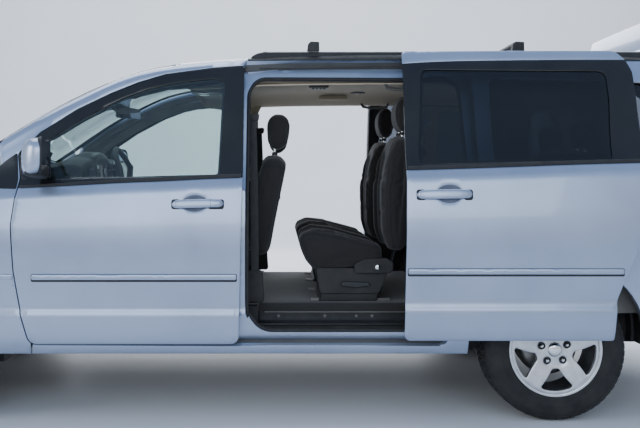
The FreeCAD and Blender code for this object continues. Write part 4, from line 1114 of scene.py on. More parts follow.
def roof_ribs(P):
    """Four shallow ribs pressed along the roof."""
    P = P.copy()
    w = np.clip((P[:, 0] - 1420) / 120, 0, 1) * np.clip((3640 - P[:, 0]) / 120, 0, 1)
    for c in (-420, -150, 150, 420):
        d = np.abs(P[:, 1] - c)
        P[:, 2] -= 4.0 * w * np.clip(1 - d / 34.0, 0, 1) ** 0.5 * (P[:, 2] > 1700)
    return P


roof = panel("roof_skin", SIDE, ROOF, mats=[PAINT], depth=14, hem=2.2, grid=(40, 17), post=roof_ribs)
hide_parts("roof")

# ------------------------------------------------------------------ hood
_y = np.linspace(-548, 548, 45)
_uf = u_front(_y, 806.0)
_uf = np.maximum(_uf, -900)
_hs = [(float(u), float(y)) for u, y in zip(_uf, _y)]
_hood = _hs + [(-756, 619), (-560, 669), (-250, 687), (0, 694), (-42, 450), (-86, 220), (-100, 0), (-86, -220), (-42, -450), (0, -694),
               (-250, -687), (-560, -669), (-756, -619)]
HOOD = to_top(rounded(_hood, [0] * len(_hs) + [70, 200, 200, 30, 100, 100, 100, 100, 100, 30, 200, 200, 70]), 0, 22, 5.0)


def hood_dome(P):
    P = P.copy()
    y = np.abs(P[:, 1])
    edge = 430 - 60 * np.clip((-P[:, 0] - 300) / 500, 0, 1)
    w = np.clip((edge - y) / 46.0, 0, 1)
    w = w * w * (3 - 2 * w)
    P[:, 2] += 7.0 * w * np.clip((P[:, 0] + 855) / 90, 0, 1) * np.clip((-110 - P[:, 0]) / 60 + 1, 0, 1) * (P[:, 2] > 780)
    return P


hood = panel("hood_skin", SIDE, HOOD, mats=[PAINT], depth=22, hem=2.4, grid=(30, 16), post=hood_dome, body="hood_body")
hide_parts("hood")

# ------------------------------------------------------------------ front bumper, grille and lamps
BUMP = resample(np.array(rounded(two_sided([(0, 246), (420, 244), (760, 244), (938, 250), (938, 404), (946, 528), (956, 566),
                                             (848, 646), (808, 687), (700, 676), (500, 654), (380, 645), (0, 645)][0:13]),
                                 [0, 0, 0, 30, 10, 10, 14, 10, 8, 60, 60, 0, 0, 0, 0, 60, 60, 8, 10, 14, 10, 10, 30, 0, 0, 0])), 22.0)
_d = np.linalg.norm(BUMP - np.roll(BUMP, 1, 0), axis=1)
BUMP = BUMP[_d > 0.5]
INTAKE = resample(rounded(two_sided([(0, 318), (388, 318), (432, 428), (0, 428)]), [0, 34, 34, 0, 0, 34, 34, 0]), 22.0)
INTAKE = INTAKE[np.linalg.norm(INTAKE - np.roll(INTAKE, 1, 0), axis=1) > 0.5]


def disc_loop(cx, cy, rx, ry, n=28):
    return np.array([(cx + rx * math.cos(2 * math.pi * k / n), cy + ry * math.sin(2 * math.pi * k / n)) for k in range(n)])


FOGS = [disc_loop(s * 610, 372, 52, 46) for s in (-1, 1)]


def plate_flat(P):
    """Presses the flat behind the front number plate into the bumper."""
    P = P.copy()
    w = np.clip((172 - np.abs(P[:, 1])) / 14.0, 0, 1) * np.clip((P[:, 2] - 424) / 12.0, 0, 1) * np.clip((603 - P[:, 2]) / 12.0, 0, 1)
    P[:, 0] += w * (np.maximum(P[:, 0], -957.0) - P[:, 0]) * (P[:, 0] < -900)
    return P


bumper = panel("front_bumper_skin", NOSE, BUMP, holes=[INTAKE] + FOGS, mats=[PAINT], depth=30, hem=3.0, grid=(24, 20), post=plate_flat)
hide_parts("front_bumper")

# The lower intake's slats and mesh, behind the bumper
both_y = np.linspace(-430, 430, 25)
panel("intake_mesh", NOSE, offset(INTAKE, 10), mats=[BLACK_GRAIN], depth=4, hem=0, grid=(60, 60), lift=-28, back=False)
for i, z in enumerate((346, 373, 400)):
    a = np.linspace(-418, 418, 31)
    p = NOSE.pos(np.stack([a, np.full(31, float(z))], 1))
    p[:, 0] += 16
    sweep("intake_slat_%d" % i, p, 6, BLACK_GRAIN, flat=(9, 4, (0, 0, 1)))
for s, nm in ((-1, "right"), (1, "left")):
    c = NOSE.pos(np.array([[s * 610.0, 372.0]]))[0]
    n0 = np.array([math.cos(610 / 600.0), s * math.sin(610 / 600.0), 0.0])      # inward
    n0 = np.array([-math.cos(610 / 600.0), -s * math.sin(610 / 600.0), 0.0])
    panel(nm + "_fog_bowl", NOSE, disc_loop(s * 610, 372, 56, 50), mats=[BLACK_GLOSS], depth=4, hem=0, grid=(20, 20), lift=-24,
          back=False)
    panel(nm + "_fog_lens", NOSE, disc_loop(s * 610, 372, 40, 38), mats=[LENS], depth=6, hem=1.5, grid=(12, 12), lift=-14)
    panel(nm + "_fog_reflector", NOSE, disc_loop(s * 610, 372, 38, 36), mats=[REFLECTOR], depth=3, hem=0, grid=(12, 12), lift=-21, back=False)

# grille: a black back plate, bright bars and a bright surround, with a plain oval in the middle
GR = resample(rounded(two_sided([(0, 655), (372, 655), (400, 676), (392, 782), (0, 786)]), [0, 30, 20, 30, 0, 0, 30, 20, 30, 0]), 18.0)
GR = GR[np.linalg.norm(GR - np.roll(GR, 1, 0), axis=1) > 0.5]
grille = panel("grille_back", NOSE, GR, mats=[BLACK_GLOSS], depth=5, hem=0.5, grid=(30, 26), lift=-20)
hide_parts("grille")
bead("grille_surround", NOSE, offset(GR, -5), 7, CHROME, lift=-10, n=10)
for i, z in enumerate((676, 698, 720, 742, 764)):
    a = np.linspace(-386 + (6 if z > 750 else 0), 386 - (6 if z > 750 else 0), 33)
    p = NOSE.pos(np.stack([a, np.full(33, float(z))], 1))
    p[:, 0] += 10
    sweep("grille_bar_%d" % i, p, 4, CHROME, flat=(7, 3.6, (0, 0, 1)))
oval = disc_loop(0, 720, 62, 34, 40)
panel("grille_plain_badge", NOSE, oval, mats=[CHROME], depth=7, hem=3.5, grid=(12, 12), lift=0.5)

# a blank number plate on the bumper
prism("front_plate", rounded([(-152, 437), (152, 437), (152, 589), (-152, 589)], 12), -964.0, -961.0,
      varied("plate_white", (0.72, 0.72, 0.7), (0.8, 0.8, 0.78), 12.0, (0.3, 0.45), bump=(0.05, 0.0003, 300.0)), axis="u", bevel=0.8)
for i, (sy, sz) in enumerate(((-1, -1), (-1, 1), (1, -1), (1, 1))):
    lathe("plate_screw_%d" % i, [(0.1, 3.0), (4, 2.8), (6.2, 1.4), (6.6, 0)], (-961.5, sy * 88.9, 513 + sz * 60.3), [CHROME], axis="u", n=16,
          sgn=-1.0)

# headlights: outline in the nose chart, reflector bowls behind a clear lens
LAMP = resample(rounded([(420, 653), (640, 668), (806, 697), (856, 772), (862, 846), (800, 858), (560, 812), (424, 782)],
                        [18, 60, 20, 40, 22, 40, 60, 16]), 16.0)
for s, nm in ((1, "left"), (-1, "right")):
    L = LAMP * np.array([s, 1.0])
    if s < 0:
        L = L[::-1]
    lens = panel(nm + "_headlight_lens", NOSE, L, mats=[LENS], depth=5, hem=2.2, grid=(24, 22), lift=0)
    if s > 0:
        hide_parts("headlights")
    panel(nm + "_headlight_housing", NOSE, offset(L, -2), mats=[BLACK_GLOSS], depth=3, hem=0, grid=(30, 26), lift=-30,
          back=False)
    for j, (ca, cz, r) in enumerate(((520, 730, 48), (640, 748, 48), (760, 776, 36))):
        c = NOSE.pos(np.array([[s * float(ca), float(cz)]]))[0]
        th = ca / 600.0
        prof = [(r, 0), (r * 0.94, 9), (r * 0.75, 17), (r * 0.45, 23), (8, 26), (0.1, 26)]
        # a bowl turned to face forward
        lathe("%s_lamp_bowl_%d" % (nm, j), prof, (c[0] + 16, c[1] * 0.985, c[2]),
              [REFLECTOR if j < 2 else AMBER_LENS], axis="u", n=28)
        lathe("%s_lamp_bulb_%d" % (nm, j), [(0.1, -12), (7, -10), (9, -2), (9, 12), (0.1, 14)], (c[0] + 28, c[1] * 0.985, c[2]), [CHROME],
              axis="u", n=16)

# ------------------------------------------------------------------ cowl, wipers, windshield
SH = [(-60, -330), (14, -560), (75, -796), (378, -796), (716, -719), (1055, -673), (1200, -652), (1233, -637), (1204, -490),
      (1170, -245), (1158, 0)]
SH = SH + [(u, -y) for u, y in SH[:-1]][::-1] + [(-70, 0)]
SHIELD = to_top(rounded(SH, [60, 60, 30, 100, 200, 200, 20, 14, 200, 200, 200, 200, 200, 14, 20, 200, 200, 100, 30, 60, 60, 60][:len(SH)]),
                0, 24, 6.5)
ws = panel("windshield_glass", SIDE, SHIELD, mats=[CLEAR_GLASS], depth=5, hem=1.0, grid=(44, 32), lift=-4, crease=False)
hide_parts("windshield")
panel("windshield_frit", SIDE, offset(SHIELD, -1.0), holes=[offset(SHIELD, -38)], mats=[BLACK_GLOSS], depth=1.2, hem=0, grid=(44, 20),
      lift=-9.5, crease=False)
bead("windshield_seal", SIDE, offset(SHIELD, 2.5), 3.2, RUBBER, lift=-3.0, n=8)
COWL = [(-92, 0), (-80, -220), (-37, -450), (2, -690), (34, -700), (56, -752), (62, -800)] + \
       [(70, -794), (10, -560), (-64, -330), (-74, 0)]
_cowl = COWL + [(u, -y) for u, y in COWL[1:-1]][::-1]
COWLP = to_top(rounded(_cowl, 6), 0, 20, 6.0)
panel("cowl_grille", SIDE, COWLP, mats=[BLACK_GRAIN], depth=8, hem=1.0, grid=(20, 12), lift=-9, crease=False)
for nm, y0, y1, u0 in (("left", -560, -40, 3), ("right", 120, 600, -30)):
    yy = np.linspace(y0, y1, 22)
    t = (yy - y0) / (y1 - y0)
    uu = np.interp(np.abs(yy), [0, 300, 600], [-52, -40, 30]) + 62 + 26 * t
    P = SIDE.pos(np.stack([uu, np.where(yy > 0, 2 * S_MID - s_from_y(uu, yy, 6.5), s_from_y(uu, yy, 6.5))], 1)) + np.array([-4, 0, 10])
    sweep(nm + "_wiper_blade", P, 5, RUBBER, flat=(4, 8, (0, 0, 1)))
    q = P[11]
    base = np.array([u0 + 20.0, (y0 + 60) if nm == "left" else (y0 + 30), 0.0])
    base[2] = float(top_z(np.array([base[0]]), np.array([base[1]]))[0]) + 4
    arm = np.array([base, base + (q - base) * 0.35 + [0, 0, 14], q + [0, 0, 12]])
    sweep(nm + "_wiper_arm", arm, 7, BLACK_GLOSS, flat=(9, 5, (0, 0, 1)))
    lathe(nm + "_wiper_cap", [(14, 0), (14, 14), (10, 20), (0.1, 21)], tuple(base - [0, 0, 12]), [BLACK_GLOSS], axis="z", n=20)

# ------------------------------------------------------------------ doors
def door(side_names, outline, glass, body, move=None, top_s=None, glass_mat=None, low_depth=30):
    """A door's painted lower panel, its black window frame and its glass, on both sides."""
    out = []
    lowp = clip(outline, 1, S7 - BELT_HALF, False)
    upp = clip(outline, 1, S7 + BELT_HALF, True)
    frame_out = clip(upp, 1, top_s, False) if top_s else upp
    for nm, mir, bd in ((side_names[0], False, body[0]), (side_names[1], True, body[1])):
        kw = dict(mirror=mir, body=bd, move=move)
        holes = [h for h in HANDLE_HOLES.get(side_names[0], [])]
        p = panel(nm + "_skin", SIDE, lowp, holes=holes, mats=[PAINT], depth=low_depth, hem=2.8, grid=(28, 24), **kw)
        f = panel(nm + "_frame", SIDE, frame_out, holes=[offset(glass, 2)], mats=[BLACK_GLOSS], depth=26, hem=2.4, grid=(26, 24), **kw)
        out.append((p, f))
        if top_s:
            panel(nm + "_top", SIDE, clip(upp, 1, top_s + 1, True), mats=[PAINT], depth=26, hem=2.0, grid=(28, 12), lift=1.0, **kw)
        g = panel(nm + "_glass", SIDE, offset(glass, 4), mats=[glass_mat], depth=4, hem=0.6, grid=(60, 50), lift=-5, crease=False, **kw)
        out[-1] += (g,)
        panel(nm + "_frit", SIDE, offset(glass, 4), holes=[offset(glass, -9)], mats=[BLACK_GLOSS], depth=1, hem=0, grid=(40, 9), lift=-9.6,
              crease=False, **kw)
        # inner shell and trim
        panel(nm + "_inner_low", SIDE, offset(lowp, -4), mats=[CABIN], depth=27, hem=3.0, grid=(45, 40), lift=-low_depth - 0.5, **kw)
        panel(nm + "_inner_frame", SIDE, offset(frame_out if not top_s else upp, -4), holes=[offset(glass, 7)], mats=[BLACK_GRAIN], depth=28,
              hem=3.0, grid=(45, 40), lift=-28, **kw)
        # belt strip
        bl = [p_ for p_ in resample(glass, 10.0) if p_[1] < S7 + 60]
        lo, hi = min(q[0] for q in lowp) + 14, max(q[0] for q in lowp) - 8
        us = [q[0] for q in lowp if q[1] > S7 - 14]
        lo, hi = min(us) + 6, max(us) - 6
        strip = rounded([(lo, S7 - 4), (hi, S7 - 4), (hi, S7 + 17), (lo, S7 + 17)], 5)
        panel(nm + "_belt_strip", SIDE, resample(strip, 20), mats=[BLACK_GRAIN], depth=8, hem=3.5, grid=(40, 12), lift=5, crease=False, **kw)
    return out


HANDLE_HOLES = {}


def scoop_loop(u, z, ru, rz):
    s0 = float(s_from_z(np.array([u]), np.array([float(z)]))[0])
    return disc_loop(u, s0, ru, rz, 36), s0


SC1, SC1S = scoop_loop(1362.0, 1039.0, 60.0, 43.0)
SC2, SC2S = scoop_loop(1793.0, 1051.0, 60.0, 43.0)
HANDLE_HOLES["left_front_door"] = [SC1]
HANDLE_HOLES["left_sliding_door"] = [SC2]
D1 = door(("left_front_door", "right_front_door"), DOOR1, GLASS1, ("left_front_door_body", "right_front_door_body"), glass_mat=CLEAR_GLASS)
S_TOP2 = float(s_from_z(np.array([2100.0]), np.array([1698.0]))[0])
D2 = door(("left_sliding_door", "right_sliding_door"), DOOR2, GLASS2, ("root", "root"), move=SLIDE, top_s=S_TOP2, glass_mat=DARK_GLASS)
for (p, f, g), nm in zip(D1, ("left_front_door", "right_front_door")):
    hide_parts(nm)
    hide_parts(nm.replace("door", "window"))
for (p, f, g), nm in zip(D2, ("left_sliding_door", "right_sliding_door")):
    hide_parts(nm)
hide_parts("sliding_door_windows")


def scoop(nm, loop, s0, u, move, body, mir):
    """The hollow behind a door handle: a shallow bowl, coloured a darker copy of the body paint as painted shade."""
    rings = []
    n = len(loop)
    for f, dep in ((1.0, 1.5), (0.97, 7), (0.9, 14), (0.75, 20), (0.5, 24), (0.22, 25.5)):
        q = np.array([u, s0]) + (loop - np.array([u, s0])) * f
        nn, _, _ = normals(SIDE, q)
        rings.append(SIDE.pos(q) - nn * dep)
    P = np.array([p for r in rings for p in r])
    if move is not None:
        P = P + np.array(move)
    P = P.reshape(len(rings), n, 3)
    return rings_mesh(nm, [list(r) for r in P], SCOOP_PAINTED_SHADE, body=body, caps=True, angle=60, mirror=mir)


def handle(nm, u0, u1, z0, z1, move, body, mir, lock):
    """A pull handle: a bar across the scoop on two feet, with a keyhole cap."""
    s0 = float(s_from_z(np.array([(u0 + u1) / 2.0]), np.array([(z0 + z1) / 2.0]))[0])
    h = (z1 - z0) / 2.0
    out = []
    us = np.linspace(u0, u1, 25)
    rings = []
    mv = np.array(move if move is not None else (0, 0, 0), float)
    for i, uu in enumerate(us):
        t = (uu - u0) / (u1 - u0)
        e = min(t, 1 - t)
        k = min(1.0, (e / 0.06)) ** 0.5 if e < 0.06 else 1.0
        hh = h * max(0.25, k) * (1.0 - 0.12 * abs(2 * t - 1) ** 2)
        lift = 17 + 8 * math.sin(math.pi * t)
        inn = 8 + 3 * math.sin(math.pi * t) if 0.12 < t < 0.82 else -2
        q = SIDE.pos(np.array([[uu, s0]]))[0]
        nn, _, _ = normals(SIDE, np.array([[uu, s0]]))
        n_ = nn[0]
        upv = np.array([0.0, -n_[2], n_[1]]) * (-1 if n_[1] < 0 else 1)
        upv /= np.linalg.norm(upv)
        if upv[2] < 0:
            upv = -upv
        ring = []
        for c in np.linspace(0, 2 * math.pi, 16, endpoint=False):
            cc, ss = math.cos(c), math.sin(c)
            a = math.copysign(abs(cc) ** 0.7, cc)
            b = math.copysign(abs(ss) ** 0.7, ss)
            mid_, half_ = (lift * k + inn) / 2, max(3.0, (lift * k - inn) / 2)
            ring.append(q + n_ * (mid_ + half_ * a) + upv * hh * b + mv)
        rings.append(ring)
    rings_mesh(nm + "_handle", rings, PAINT, body=body, mirror=mir, angle=50)
    # black rubber pads at the handle's ends, drawn larger than the handle so they also stand for the painted shadow gap
    # round it
    for j, (a0, a1) in enumerate(((u0 - 2, u0 + 0.16 * (u1 - u0)), (u1 - (0.30 if lock else 0.16) * (u1 - u0), u1 + 2))):
        gk = [(a0, z0 - 4), (a1, z0 - 4), (a1, z1 + 1), (a0, z1 + 1)]
        panel("%s_gasket_and_shadow_%d" % (nm, j), SIDE, to_side(gk, 12, 12), mats=[RUBBER], depth=2, hem=0.8, grid=(20, 12), lift=2.0, body=body, mirror=mir,
              move=move)
    if lock:
        c = u1 - 0.27 * (u1 - u0)
        k_ = int(np.argmin(np.abs(us - c)))
        ring = [tuple(np.array(q_) + (np.array(q_) - np.mean(rings[k_], 0)) * 0.03) for q_ in rings[k_]]
        sweep(nm + "_handle_line", ring, 0.9, RUBBER, closed=True, body=body, mirror=mir)
    if lock:
        q = SIDE.pos(np.array([[lock, s0 + 2]]))[0] + mv
        y = q[1] * (-1 if mir else 1)
        lathe(nm + "_lock", [(11, -2), (11, 3), (9, 5), (0.1, 5.4)], (q[0], y, q[2]), [CHROME], axis="y", n=24, sgn=(1.0 if mir else -1.0),
              body=body)


def door_trim(nm, body, mir):
    """What is fixed to a front door's inner panel: a pad, armrest, pocket, speaker, release lever and window switches.
    """
    kw = dict(body=body, mirror=mir, crease=False)
    panel(nm + "_inner_pad", SIDE, to_side([(650, 962), (1470, 978), (1470, 1098), (650, 1088)], 40, 20), mats=[CABIN_GREY], depth=6, hem=4,
          grid=(40, 26), lift=-57, **kw)
    panel(nm + "_armrest", SIDE, to_side([(800, 868), (1330, 884), (1336, 934), (806, 918)], 20, 16), mats=[CABIN], depth=50, hem=12,
          grid=(30, 14), lift=-56, **kw)
    panel(nm + "_armrest_top", SIDE, to_side([(830, 912), (1310, 926), (1310, 936), (830, 922)], 4, 16), mats=[SEAT_MESH], depth=44, hem=4,
          grid=(30, 8), lift=-60, **kw)
    panel(nm + "_map_pocket", SIDE, to_side([(790, 462), (1380, 462), (1410, 596), (760, 600)], 44, 18), mats=[CABIN], depth=30, hem=10,
          grid=(30, 20), lift=-56, **kw)
    lp, _s = scoop_loop(668.0, 640.0, 74.0, 74.0)
    panel(nm + "_speaker_ring", SIDE, lp, mats=[CABIN_GREY], depth=9, hem=3, grid=(16, 16), lift=-56, **kw)
    lp, _s = scoop_loop(668.0, 640.0, 66.0, 66.0)
    panel(nm + "_speaker_mesh", SIDE, lp, mats=[BLACK_GRAIN], depth=5, hem=2, grid=(16, 16), lift=-62, **kw)
    panel(nm + "_release_bezel", SIDE, to_side([(690, 1000), (812, 1004), (812, 1048), (690, 1044)], 18, 12), mats=[BLACK_GLOSS], depth=5, hem=2,
          grid=(16, 12), lift=-62, **kw)
    panel(nm + "_release_lever", SIDE, to_side([(704, 1014), (790, 1017), (790, 1034), (704, 1031)], 8, 10), mats=[CHROME], depth=8, hem=3,
          grid=(14, 8), lift=-66, **kw)
    panel(nm + "_window_switches", SIDE, to_side([(880, 930), (1010, 934), (1010, 946), (880, 942)], 5, 10), mats=[BLACK_GLOSS], depth=30, hem=3,
          grid=(16, 8), lift=-66, **kw)


def strip_loop(u0, u1, z0, z1, r=8.0, hi=9.4):
    return to_side([(u0, z0), (u1, z0), (u1, z1), (u0, z1)], r, 20, hi)


for nm, mir, b1 in (("left", False, "left_front_door_body"), ("right", True, "right_front_door_body")):
    scoop(nm + "_front_door_scoop", SC1, SC1S, 1362.0, None, b1, mir)
    scoop(nm + "_sliding_door_scoop", SC2, SC2S, 1793.0, SLIDE, "root", mir)
    door_trim(nm + "_front_door", b1, mir)
    handle(nm + "_front_door", 1254, 1500, 1015, 1057, None, b1, mir, 1478.0)
    handle(nm + "_sliding_door", 1640, 1899, 1025, 1070, SLIDE, "root", mir, None)
    panel(nm + "_front_door_moulding", SIDE, strip_loop(594, 1562, 678, 705, 9), mats=[PAINT], depth=4, hem=5.5, grid=(40, 10), lift=9, body=b1, mirror=mir)
    # a black strip behind the moulding, showing below it: painted shadow line under the moulding
    panel(nm + "_front_door_moulding_base", SIDE, strip_loop(592, 1564, 669, 706, 8), mats=[BLACK_GRAIN], depth=5, hem=2, grid=(40, 10),
          lift=4.5, body=b1, mirror=mir)
    panel(nm + "_sliding_door_moulding", SIDE, strip_loop(1596, 2596, 678, 705, 9), mats=[PAINT], depth=4, hem=5.5, grid=(40, 10), lift=9, move=SLIDE, mirror=mir)
    # the same black strip under the sliding door's moulding: painted shadow line
    panel(nm + "_sliding_door_moulding_base", SIDE, strip_loop(1594, 2598, 669, 706, 8), mats=[BLACK_GRAIN], depth=5, hem=2, grid=(40, 10),
          lift=4.5, move=SLIDE, mirror=mir)
    panel(nm + "_quarter_moulding", SIDE, strip_loop(3540, 3880, 676, 703, 9), mats=[PAINT], depth=5, hem=5.5, grid=(40, 10), lift=8, mirror=mir)
    panel(nm + "_fender_moulding", SIDE, strip_loop(448, 506, 680, 705, 9), mats=[PAINT], depth=5, hem=5.5, grid=(30, 10), lift=8, mirror=mir)
    q3 = panel(nm + "_quarter_glass", SIDE, offset(GLASS3, 2), mats=[DARK_GLASS], depth=4, hem=0.8, grid=(60, 50), lift=-5, crease=False, mirror=mir)
    if not mir:
        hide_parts("quarter_windows")
    panel(nm + "_quarter_frit", SIDE, offset(GLASS3, 2), holes=[offset(GLASS3, -30)], mats=[BLACK_GLOSS], depth=1, hem=0, grid=(40, 15),
          lift=-9.6, crease=False, mirror=mir)
    bead(nm + "_quarter_seal", SIDE, offset(GLASS3, 1.5), 3.4, RUBBER, lift=-1.5, n=8, mirror=mir)
    # the slot of the sliding door's upper track, above the opening: a flat black strip, partly the track's own black
    # finish and partly painted shade inside the slot
    panel(nm + "_upper_track_slot_shade", SIDE, to_side([(1664, 1699), (2900, 1699), (2900, 1706), (1664, 1706)], 3, 20), mats=[RUBBER], depth=3,
          hem=0.8, grid=(40, 6), lift=1.4, mirror=mir)
    # the groove in which the sliding door's rear roller runs
    panel(nm + "_door_track", SIDE, to_side([(2740, 1172), (3716, 1196), (3716, 1216), (2740, 1192)], 8, 22), mats=[BLACK_GRAIN], depth=5,
          hem=2.0, grid=(40, 8), lift=3.5, mirror=mir)

# ------------------------------------------------------------------ door apertures
INN = -64.0
AP_OUT = offset(HOLE, 3)
for nm, mir in (("left", False), ("right", True)):
    panel(nm + "_aperture_frame", SIDE, AP_OUT, holes=[APERT1, APERT2], mats=[PAINT], depth=24, hem=2.0, grid=(30, 26), lift=INN, mirror=mir)
    bead(nm + "_sliding_aperture_seal", SIDE, APERT2, 9, RUBBER, lift=INN + 4, n=10, mirror=mir)
    bead(nm + "_front_aperture_seal", SIDE, APERT1, 9, RUBBER, lift=INN + 4, n=10, mirror=mir)

# ------------------------------------------------------------------ tail: bumper, corner, lamps, liftgate
for nm, s in (("left", 1), ("right", -1)):
    # the strip of body between the side and the liftgate, below the lamp
    zz = np.linspace(646, 900, 12)
    outer = [(tail_a(BODY_U1 - 1.0, float(half_width(np.array([BODY_U1 - 1.0]), np.array([z]))[0])), z) for z in zz]
    inner = [(tail_a(u_at(gate_y(z) + 6, z), gate_y(z) + 6), z) for z in zz]
    L = resample(np.array(inner + outer[::-1]), 18) * np.array([s, 1.0])
    panel(nm + "_tail_corner", TAIL, L if s > 0 else L[::-1], mats=[PAINT], depth=20, hem=1.5, grid=(20, 20))
    zz = np.linspace(908, 1292, 16)
    outer = [(tail_a(3909 + (z - 905) * 0.046, float(half_width(np.array([3909 + (z - 905) * 0.046]), np.array([z]))[0])), z) for z in zz]
    inner = [(tail_a(u_at(gate_y(z) + 7, z), gate_y(z) + 7), z) for z in zz]
    L = resample(rounded(np.array(inner + outer[::-1]), [20] + [0] * 14 + [20, 26] + [0] * 14 + [26]), 16) * np.array([s, 1.0])
    if s < 0:
        L = L[::-1]
    lens = panel(nm + "_tail_lens", TAIL, L, mats=[RED_LENS], depth=8, hem=3.5, grid=(22, 22), lift=2)
    if s > 0:
        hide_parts("tail_lights")
    panel(nm + "_tail_back", TAIL, offset(L, -2), mats=[REFLECTOR], depth=3, hem=0, grid=(26, 26), lift=-16)
    zc = [(1010, 26), (1190, 34), (1100, 30)]
    for j, (z, r) in enumerate(zc):
        am = (tail_a(u_at(gate_y(z) + 7, z), gate_y(z) + 7) + tail_a(3915, float(half_width(np.array([3915.0]), np.array([float(z)]))[0]))) / 2
        panel("%s_tail_cell_%d" % (nm, j), TAIL, disc_loop(s * am, z, r * 1.3, r), mats=[LENS if j == 0 else RED_LENS], depth=4, hem=3,
              grid=(14, 14), lift=4.5)
ra = [tail_a(3609, float(half_width(np.array([3609.0]), np.array([z]))[0])) for z in (370.0, 630.0)]
RB = two_sided([(0, 362), (640, 362), (860, 366), (ra[0], 368), (ra[1], 631), (900, 631), (720, 631), (640, 631), (0, 631)])
RB = resample(rounded(RB, [0, 0, 0, 20, 12, 0, 0, 0, 0, 0, 0, 0, 0, 12, 20, 0, 0, 0][:len(RB)]), 22.0)
RB = RB[np.linalg.norm(RB - np.roll(RB, 1, 0), axis=1) > 0.5]
rb = panel("rear_bumper_skin", TAIL, RB, mats=[PAINT], depth=30, hem=3.0, grid=(30, 26))
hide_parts("rear_bumper")
_st = [(-0.86, 0), (0.86, 0)]
sp = [TAIL.pos(np.array([[a, 629.0]]))[0] for a in np.linspace(-560, 560, 41)]
step_in = [np.array([4046.0, p[1] * 0.985, 636.0]) for p in sp]
step_out = [p + np.array([-6.0, 0, 5]) for p in sp]
verts = step_in + step_out
verts = [v for v in verts]
n_ = len(sp)
bump_top = link("rear_bumper_step", M(np.array(verts)), [(i, i + 1, n_ + i + 1, n_ + i) for i in range(n_ - 1)], [BLACK_GRAIN])
fix_normals(bump_top)
sol = bump_top.modifiers.new("t", "SOLIDIFY")
sol.thickness = 0.004
for j, z in enumerate((470, 540)):
    a = np.linspace(-620, 620, 61)
    P = TAIL.pos(np.stack([a, np.full(61, float(z))], 1))
    sweep("rear_bumper_line_%d" % j, P, 4, BLACK_GRAIN, flat=(5, 9, (0, 0, 1)))

# the liftgate in the closed position, then turned up
GZZ = np.concatenate([np.linspace(662, 1690, 40)])
gl = []
for z in GZZ:
    yy = gate_y(z)
    gl.append((tail_a(u_at(yy, z), yy), z))
GATE_OUT = resample(rounded(np.array([(a, z) for a, z in gl] + [(-a, z) for a, z in gl[::-1]]), [40] + [0] * 78 + [40]), 20.0)
gg = []
for y, z in ((-640, 1190), (-585, 1600), (-560, 1650)):
    gg.append((tail_a(u_at(abs(y), z), abs(y)), z))
GG = resample(rounded(gg + [(-a, z) for a, z in gg[::-1]], [50, 20, 40, 40, 20, 50]), 18.0)
PLATE = resample(rounded([(-230, 800), (230, 800), (230, 985), (-230, 985)], 30), 16.0)
kw = dict(body="liftgate_body", post=gate_turn)
gate = panel("liftgate_skin", TAIL, GATE_OUT, holes=[offset(GG, 2), PLATE], mats=[PAINT], depth=34, hem=2.8, grid=(28, 26), **kw)
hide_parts("liftgate")
ggl = panel("liftgate_glass", TAIL, offset(GG, 3), mats=[DARK_GLASS], depth=4, hem=0.8, grid=(60, 50), lift=-3, crease=False, **kw)
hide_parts("liftgate_window")
panel("liftgate_frit", TAIL, offset(GG, 3), holes=[offset(GG, -34)], mats=[BLACK_GLOSS], depth=1, hem=0, grid=(40, 20), lift=-7.6, crease=False,
      **kw)
panel("liftgate_plate_recess", TAIL, offset(PLATE, 3), mats=[PAINT], depth=4, hem=0, grid=(26, 22), lift=-22, **kw)
panel("liftgate_plate", TAIL, resample(rounded([(-150, 812), (150, 812), (150, 964), (-150, 964)], 12), 16),
      mats=[bpy.data.materials["plate_white"]], depth=2.5, hem=0.8, grid=(40, 40), lift=-17, **kw)
panel("liftgate_lid_bar", TAIL, resample(rounded([(-300, 990), (300, 990), (300, 1036), (-300, 1036)], 16), 16), mats=[CHROME], depth=14,
      hem=6, grid=(40, 20), lift=7, **kw)
panel("liftgate_inner", TAIL, offset(GATE_OUT, -8), holes=[offset(GG, 8)], mats=[CABIN_GREY], depth=12, hem=4, grid=(40, 40), lift=-34.5, **kw)
panel("liftgate_inner_dish", TAIL, resample(rounded([(-420, 760), (420, 760), (470, 1120), (-470, 1120)], 60), 20), mats=[CABIN_GREY], depth=6,
      hem=8, grid=(40, 40), lift=-46, **kw)
# the gate's upper skin and its spoiler
UG = [(3762, -634), (3762, 634), (3925, 634), (3932, 300), (3934, 0), (3932, -300), (3925, -634)]
UGP = to_top(rounded(UG, [12, 12, 30, 0, 0, 0, 30]), 0, 22, 8.0)
panel("liftgate_upper", SIDE, UGP, mats=[PAINT], depth=26, hem=2.4, grid=(26, 16), body="liftgate_body", post=gate_turn)
rings = []
for y in np.concatenate([[-598, -590, -570], np.linspace(-540, 540, 25), [570, 590, 598]]):
    e = min(1.0, (600 - abs(y)) / 34.0)
    e = math.sqrt(max(0.02, e))
    drop = 10 * (abs(y) / 600.0) ** 2
    mid_u, mid_z = 3935, 1734 - drop
    pts = [(3856, 1749), (3900, 1761), (3950, 1763), (3986, 1760), (4004, 1754), (4008, 1746), (4002, 1738), (3970, 1722), (3935, 1700),
           (3880, 1702), (3856, 1712), (3852, 1730)]
    rings.append([(mid_u + (u - mid_u) * (0.9 + 0.1 * e), y, mid_z + (z - drop - mid_z) * e) for u, z in pts])
R = np.array(rings)
shp = R.shape
R = gate_turn(R.reshape(-1, 3)).reshape(shp)
rings_mesh("liftgate_spoiler", [list(r) for r in R], PAINT, body="liftgate_body", angle=45, subdiv=1)
bl = gate_turn(np.array([(4004.0, y, 1742.0) for y in np.linspace(-150, 150, 13)]))
sweep("high_brake_light", bl, 6, RED_LENS, flat=(5, 7, (0.0, 0.0, 1.0)), body="liftgate_body")

